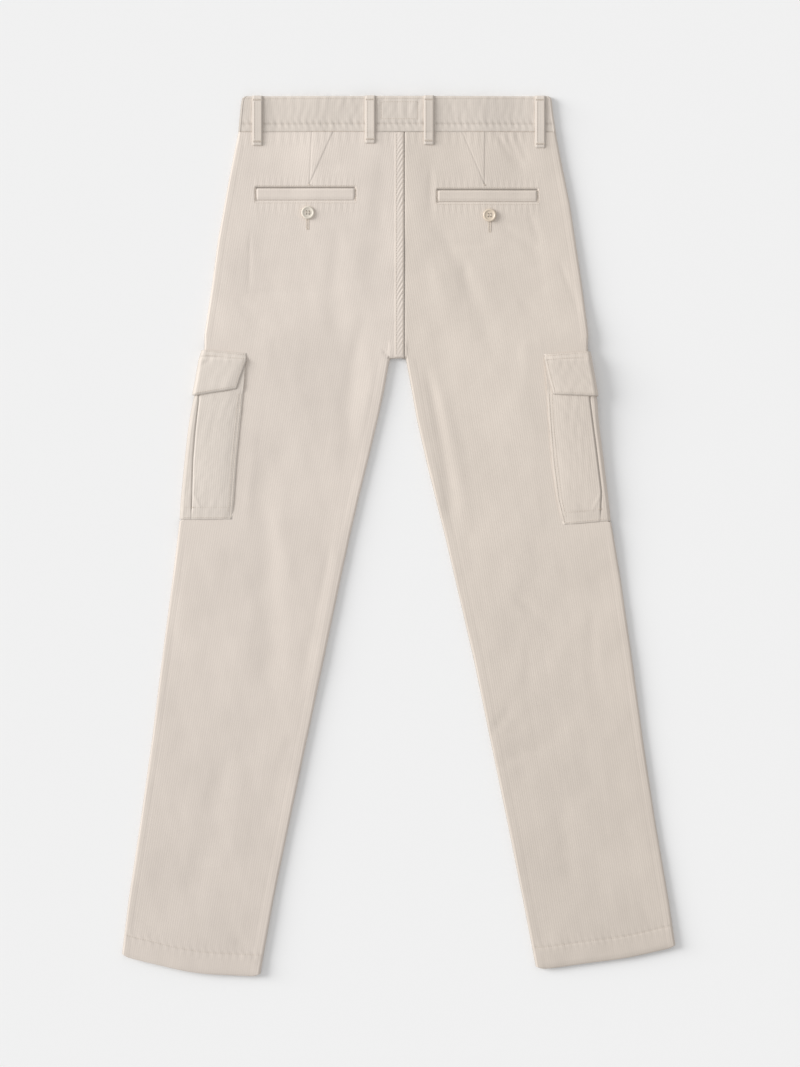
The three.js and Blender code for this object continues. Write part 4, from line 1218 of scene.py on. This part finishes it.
def sew_cargo(leg, bag, flap, pleat):
    side = leg["side"]

    def bag_z(x, y):
        return bag_top(leg, bag, pleat, x, y) + 0.1

    def flap_z(x, y):
        return flap_top(leg, flap, x, y) + 0.1

    low = bag["y"][0]
    ys = np.linspace(low + 2.5, 178, 24)
    for inset in (2.4, 6.0):
        stitch_line([(at(bag, "sewn", y) + side * inset, y) for y in ys if y > low + inset - 1], bag_z)
    foot, outer_foot = low + 2.6, bag["outer_y"][0] + 2.6
    sewn_x, outer_x = at(bag, "sewn", foot) + side * 2.6, bag["outer"][0] - side * 5
    for up in (0, 12.4):
        stitch_line([(sewn_x, foot + up), (outer_x, outer_foot + up)], bag_z)
    bar_tack(at(pleat, "x", 34), outer_foot + 12.4, 5, bag_z)
    head_ends = (flap["sewn"][-1] + side * 2.5, flap["outer"][-1] - side * 5.0)
    for down in (7.0, 2.0):
        stitch_line(list(zip(head_ends, (flap["y"][-1] - down, flap["outer_y"][-1] - down))), flap_z)
    low = flap["y"][0] + 3.2
    edge_y = np.linspace(low, flap["y"][-1] - 8, 8)
    stitch_line([(at(flap, "sewn", y) + side * 3.2, y) for y in edge_y], flap_z)
    outer_end = (flap["outer"][0] - side * 5.5, flap["outer_y"][0] + 3.4)
    stitch_line([(at(flap, "sewn", low) + side * 3.2, low), outer_end], flap_z)


def sew_buttonholes():
    """Upright buttonholes under the pocket buttons, whipped on both sides."""
    for x, y in POCKET_BUTTONS.values():
        low, high = y - 20.0, y + 5.0
        for whip_y in np.linspace(low, high, 44):
            z = panel_z(x, whip_y)
            for d in (-1.0, 1.0):
                add_stitch("top", (x + d * 0.35, whip_y, z), (x + d * 2.0, whip_y, z + 0.1), 0.32)
        for k in range(7):
            bar_x = x - 1.6 + k * 0.53
            z = panel_z(bar_x, low)
            add_stitch("top", (bar_x, low - 1.6, z), (bar_x, low + 0.6, z), 0.32)


def stitch_objects():
    """One mesh a side of the garment, with a rod turned along each stitch."""
    base, faces = capsule()
    long, wide, high = (base[None, :, k : k + 1] for k in range(3))
    for group, items in stitches.items():
        starts, ends = (np.array([s[k] for s in items])[:, None, :] for k in (0, 1))
        radii = np.array([s[2] for s in items])[:, None, None]
        length = np.linalg.norm(ends - starts, axis=2, keepdims=True)
        along = (ends - starts) / length
        across = np.cross(along, [0, 0, 1.0])
        across /= np.linalg.norm(across, axis=2, keepdims=True)
        up = np.cross(across, along)
        points = (starts + ends) / 2 + along * long * length + (across * wide + up * high) * radii
        index = faces[None] + (np.arange(len(items)) * len(base))[:, None, None]
        piece = mesh_object(f"stitches_{group}", points.reshape(-1, 3), index.reshape(-1, 3), THREAD)
        finish_piece(piece, [])


# Buttons
def turned_mesh(name, profile, sides=48):
    """Mesh turned from a profile of radius and height that starts and ends on its axis."""
    made = bmesh.new()
    angles = [2 * math.pi * k / sides for k in range(sides)]
    rings = []
    for radius, z in profile:
        ring = [(radius * math.cos(a), radius * math.sin(a), z) for a in (angles if radius else [0])]
        rings.append([made.verts.new([value * MM for value in point]) for point in ring])
    for low, high in zip(rings, rings[1:]):
        for k in range(sides):
            a, b = low[k % len(low)], low[(k + 1) % len(low)]
            c, d = high[(k + 1) % len(high)], high[k % len(high)]
            made.faces.new(list(dict.fromkeys((a, b, c, d))))
    bmesh.ops.recalc_face_normals(made, faces=made.faces)
    return mesh_from(name, made)


def mesh_from(name, made):
    mesh = bpy.data.meshes.new(name)
    made.to_mesh(mesh)
    made.free()
    return mesh


def button_mesh(name, material, centre, base_z, upwards, tilt):
    """Turned button with a rim and four holes."""
    r, h = BUTTON_RADIUS, BUTTON_HEIGHT
    profile = [
        (0, 0), (r - 1.2, 0), (r - 0.3, 0.3), (r, 1.0), (r - 0.15, h - 0.5), (r - 0.7, h - 0.05),
        (r - 1.4, h), (r - 2.0, h - 0.3), (r - 2.6, h - 0.8), (r - 3.4, h - 1.0), (0, h - 0.85),
    ]
    body = new_object(name, turned_mesh(name, profile))
    body.data.materials.append(material)
    drill_holes(body)
    body.data.polygons.foreach_set("use_smooth", np.ones(len(body.data.polygons), dtype=bool))
    body.data.set_sharp_from_angle(angle=math.radians(40))
    flip = 1 if upwards else -1
    cos, sin = math.cos(tilt), math.sin(tilt)
    for vertex in body.data.vertices:
        x, y, z = vertex.co
        x, z = cos * x + sin * z, cos * z - sin * x
        vertex.co = (x + centre[0] * MM, flip * y + centre[1] * MM, flip * z + base_z * MM)
    return body


def drill_holes(body):
    """Four holes cut through the button."""
    cutter = bmesh.new()
    radius, depth, middle_z = 1.0 * MM, 10 * MM, 1.5 * MM
    for sx in (-HOLE_SPREAD, HOLE_SPREAD):
        for sy in (-HOLE_SPREAD, HOLE_SPREAD):
            made = bmesh.ops.create_cone(
                cutter, cap_ends=True, segments=20, radius1=radius, radius2=radius, depth=depth
            )
            bmesh.ops.translate(cutter, verts=made["verts"], vec=(sx * MM, sy * MM, middle_z))
    tool = new_object("cutter", mesh_from("cutter", cutter))
    modifier = body.modifiers.new("holes", "BOOLEAN")
    modifier.operation = "DIFFERENCE"
    modifier.solver = "EXACT"
    modifier.object = tool
    graph = bpy.context.evaluated_depsgraph_get()
    cut = bpy.data.meshes.new_from_object(body.evaluated_get(graph))
    body.modifiers.clear()
    body.data = cut
    bpy.data.objects.remove(tool)


def thread_through(group, x, y, z, shifts=(0.0,)):
    """Threads between the holes of a button."""
    for dx in (-HOLE_SPREAD, HOLE_SPREAD):
        for shift in shifts:
            add_stitch(group, (x + dx + shift, y - 2.0, z), (x + dx + shift, y + 2.0, z), 0.33)


def buttons():
    looks = {"pocket_button_left": (HORN, 0.10), "pocket_button_right": (HORN_TAN, -0.08)}
    for name, (x, y) in POCKET_BUTTONS.items():
        material, tilt = looks[name]
        base = float(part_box(name)[0][2]) / MM + 0.4
        piece = button_mesh(f"{name}_horn", material, (x, y), base, True, tilt)
        finish_piece(piece, [name])
        thread_through("top", x, y, base + BUTTON_HEIGHT - 0.75, (-0.35, 0.35))
    piece = button_mesh("waist_button_horn", HORN, WAIST_BUTTON, BUTTON_HEIGHT, False, 0.0)
    finish_piece(piece, ["waist_button"])
    thread_through("under", *WAIST_BUTTON, 0.75)


# Zip behind the fly
def zip_piece():
    """Colours the tape and slider, and adds the teeth on the tape."""
    for node, material in (("fly_zip", TAPE), ("zip_slider", BRASS)):
        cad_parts[node].data.materials.clear()
        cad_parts[node].data.materials.append(material)
    tooth, faces = capsule()
    tooth = tooth * np.array([2.6, 0.6, 0.5])
    points, index = [], []
    for k, y in enumerate(np.arange(340, 500, 2.0)):
        x = FRONT_SEAM_X + (0.9 if k % 2 else -0.9)
        z = float(lift(LEFT, FRONT_SEAM_X, y)) + CLOTH + GAP + 1.25
        points.append(tooth + np.array([x, y, z]))
        index.append(faces + k * len(tooth))
    piece = mesh_object("zip_teeth", np.concatenate(points), np.concatenate(index), BRASS)
    finish_piece(piece, [])


# Light, floor and camera
def studio():
    """White floor, an even world and one soft sun."""
    bpy.ops.mesh.primitive_plane_add(size=12, location=(0, 0, 0))
    floor = bpy.context.object
    floor.name = "floor"
    made = Shading("floor")
    made.shader.inputs["Base Color"].default_value = linear(243, 243, 243)
    made.shader.inputs["Roughness"].default_value = 0.9
    floor.data.materials.append(made.material)
    world = bpy.data.worlds.new("studio")
    bpy.context.scene.world = world
    world.use_nodes = True
    background = world.node_tree.nodes["Background"]
    background.inputs["Color"].default_value = (1, 1, 1, 1)
    background.inputs["Strength"].default_value = WORLD_STRENGTH
    sun("key", SUN_ELEVATION, SUN_TURN, SUN_SPREAD, SUN_STRENGTH)


def sun(name, elevation, turn, spread, strength):
    """Soft light from the left, seen from the camera, and turned a little towards the waist."""
    light = bpy.data.lights.new(name, "SUN")
    light.energy = strength
    light.angle = math.radians(spread)
    made = new_object(name, light)
    made.rotation_euler = (0, -math.radians(90 - elevation), -math.radians(turn))


def camera():
    """Straight down, with the photo's 1.25 mm to a pixel on its 1067 pixel side."""
    photo_height, photo_scale, lens, sensor = 1067, 1.25, 120.0, 36.0
    centre_x, centre_y, subject_z = 1.56, 3.44, 7
    data = bpy.data.cameras.new("camera")
    data.lens = lens
    data.sensor_width = sensor
    data.clip_end = 50
    distance = photo_height * photo_scale * lens / sensor
    made = new_object("camera", data)
    made.location = (centre_x * MM, centre_y * MM, (distance + subject_z) * MM)
    bpy.context.scene.camera = made
    bpy.context.scene.view_settings.view_transform = "Standard"


camera()
studio()
for leg, word in ((LEFT, "left"), (RIGHT, "right")):
    panel(leg, word, 1)
    panel(leg, word, -1)
waistband()
cargo_bag(LEFT, "left", LEFT_BAG, LEFT_PLEAT, CLOTH_POCKET_LEFT)
cargo_bag(RIGHT, "right", RIGHT_BAG, RIGHT_PLEAT, CLOTH_POCKET_RIGHT)
cargo_flap(LEFT, "left", LEFT_FLAP, CLOTH_POCKET_LEFT)
cargo_flap(RIGHT, "right", RIGHT_FLAP, CLOTH_POCKET_RIGHT)
belt_loops()
welts()
seat_seam()
sew()
buttons()
stitch_objects()
zip_piece()
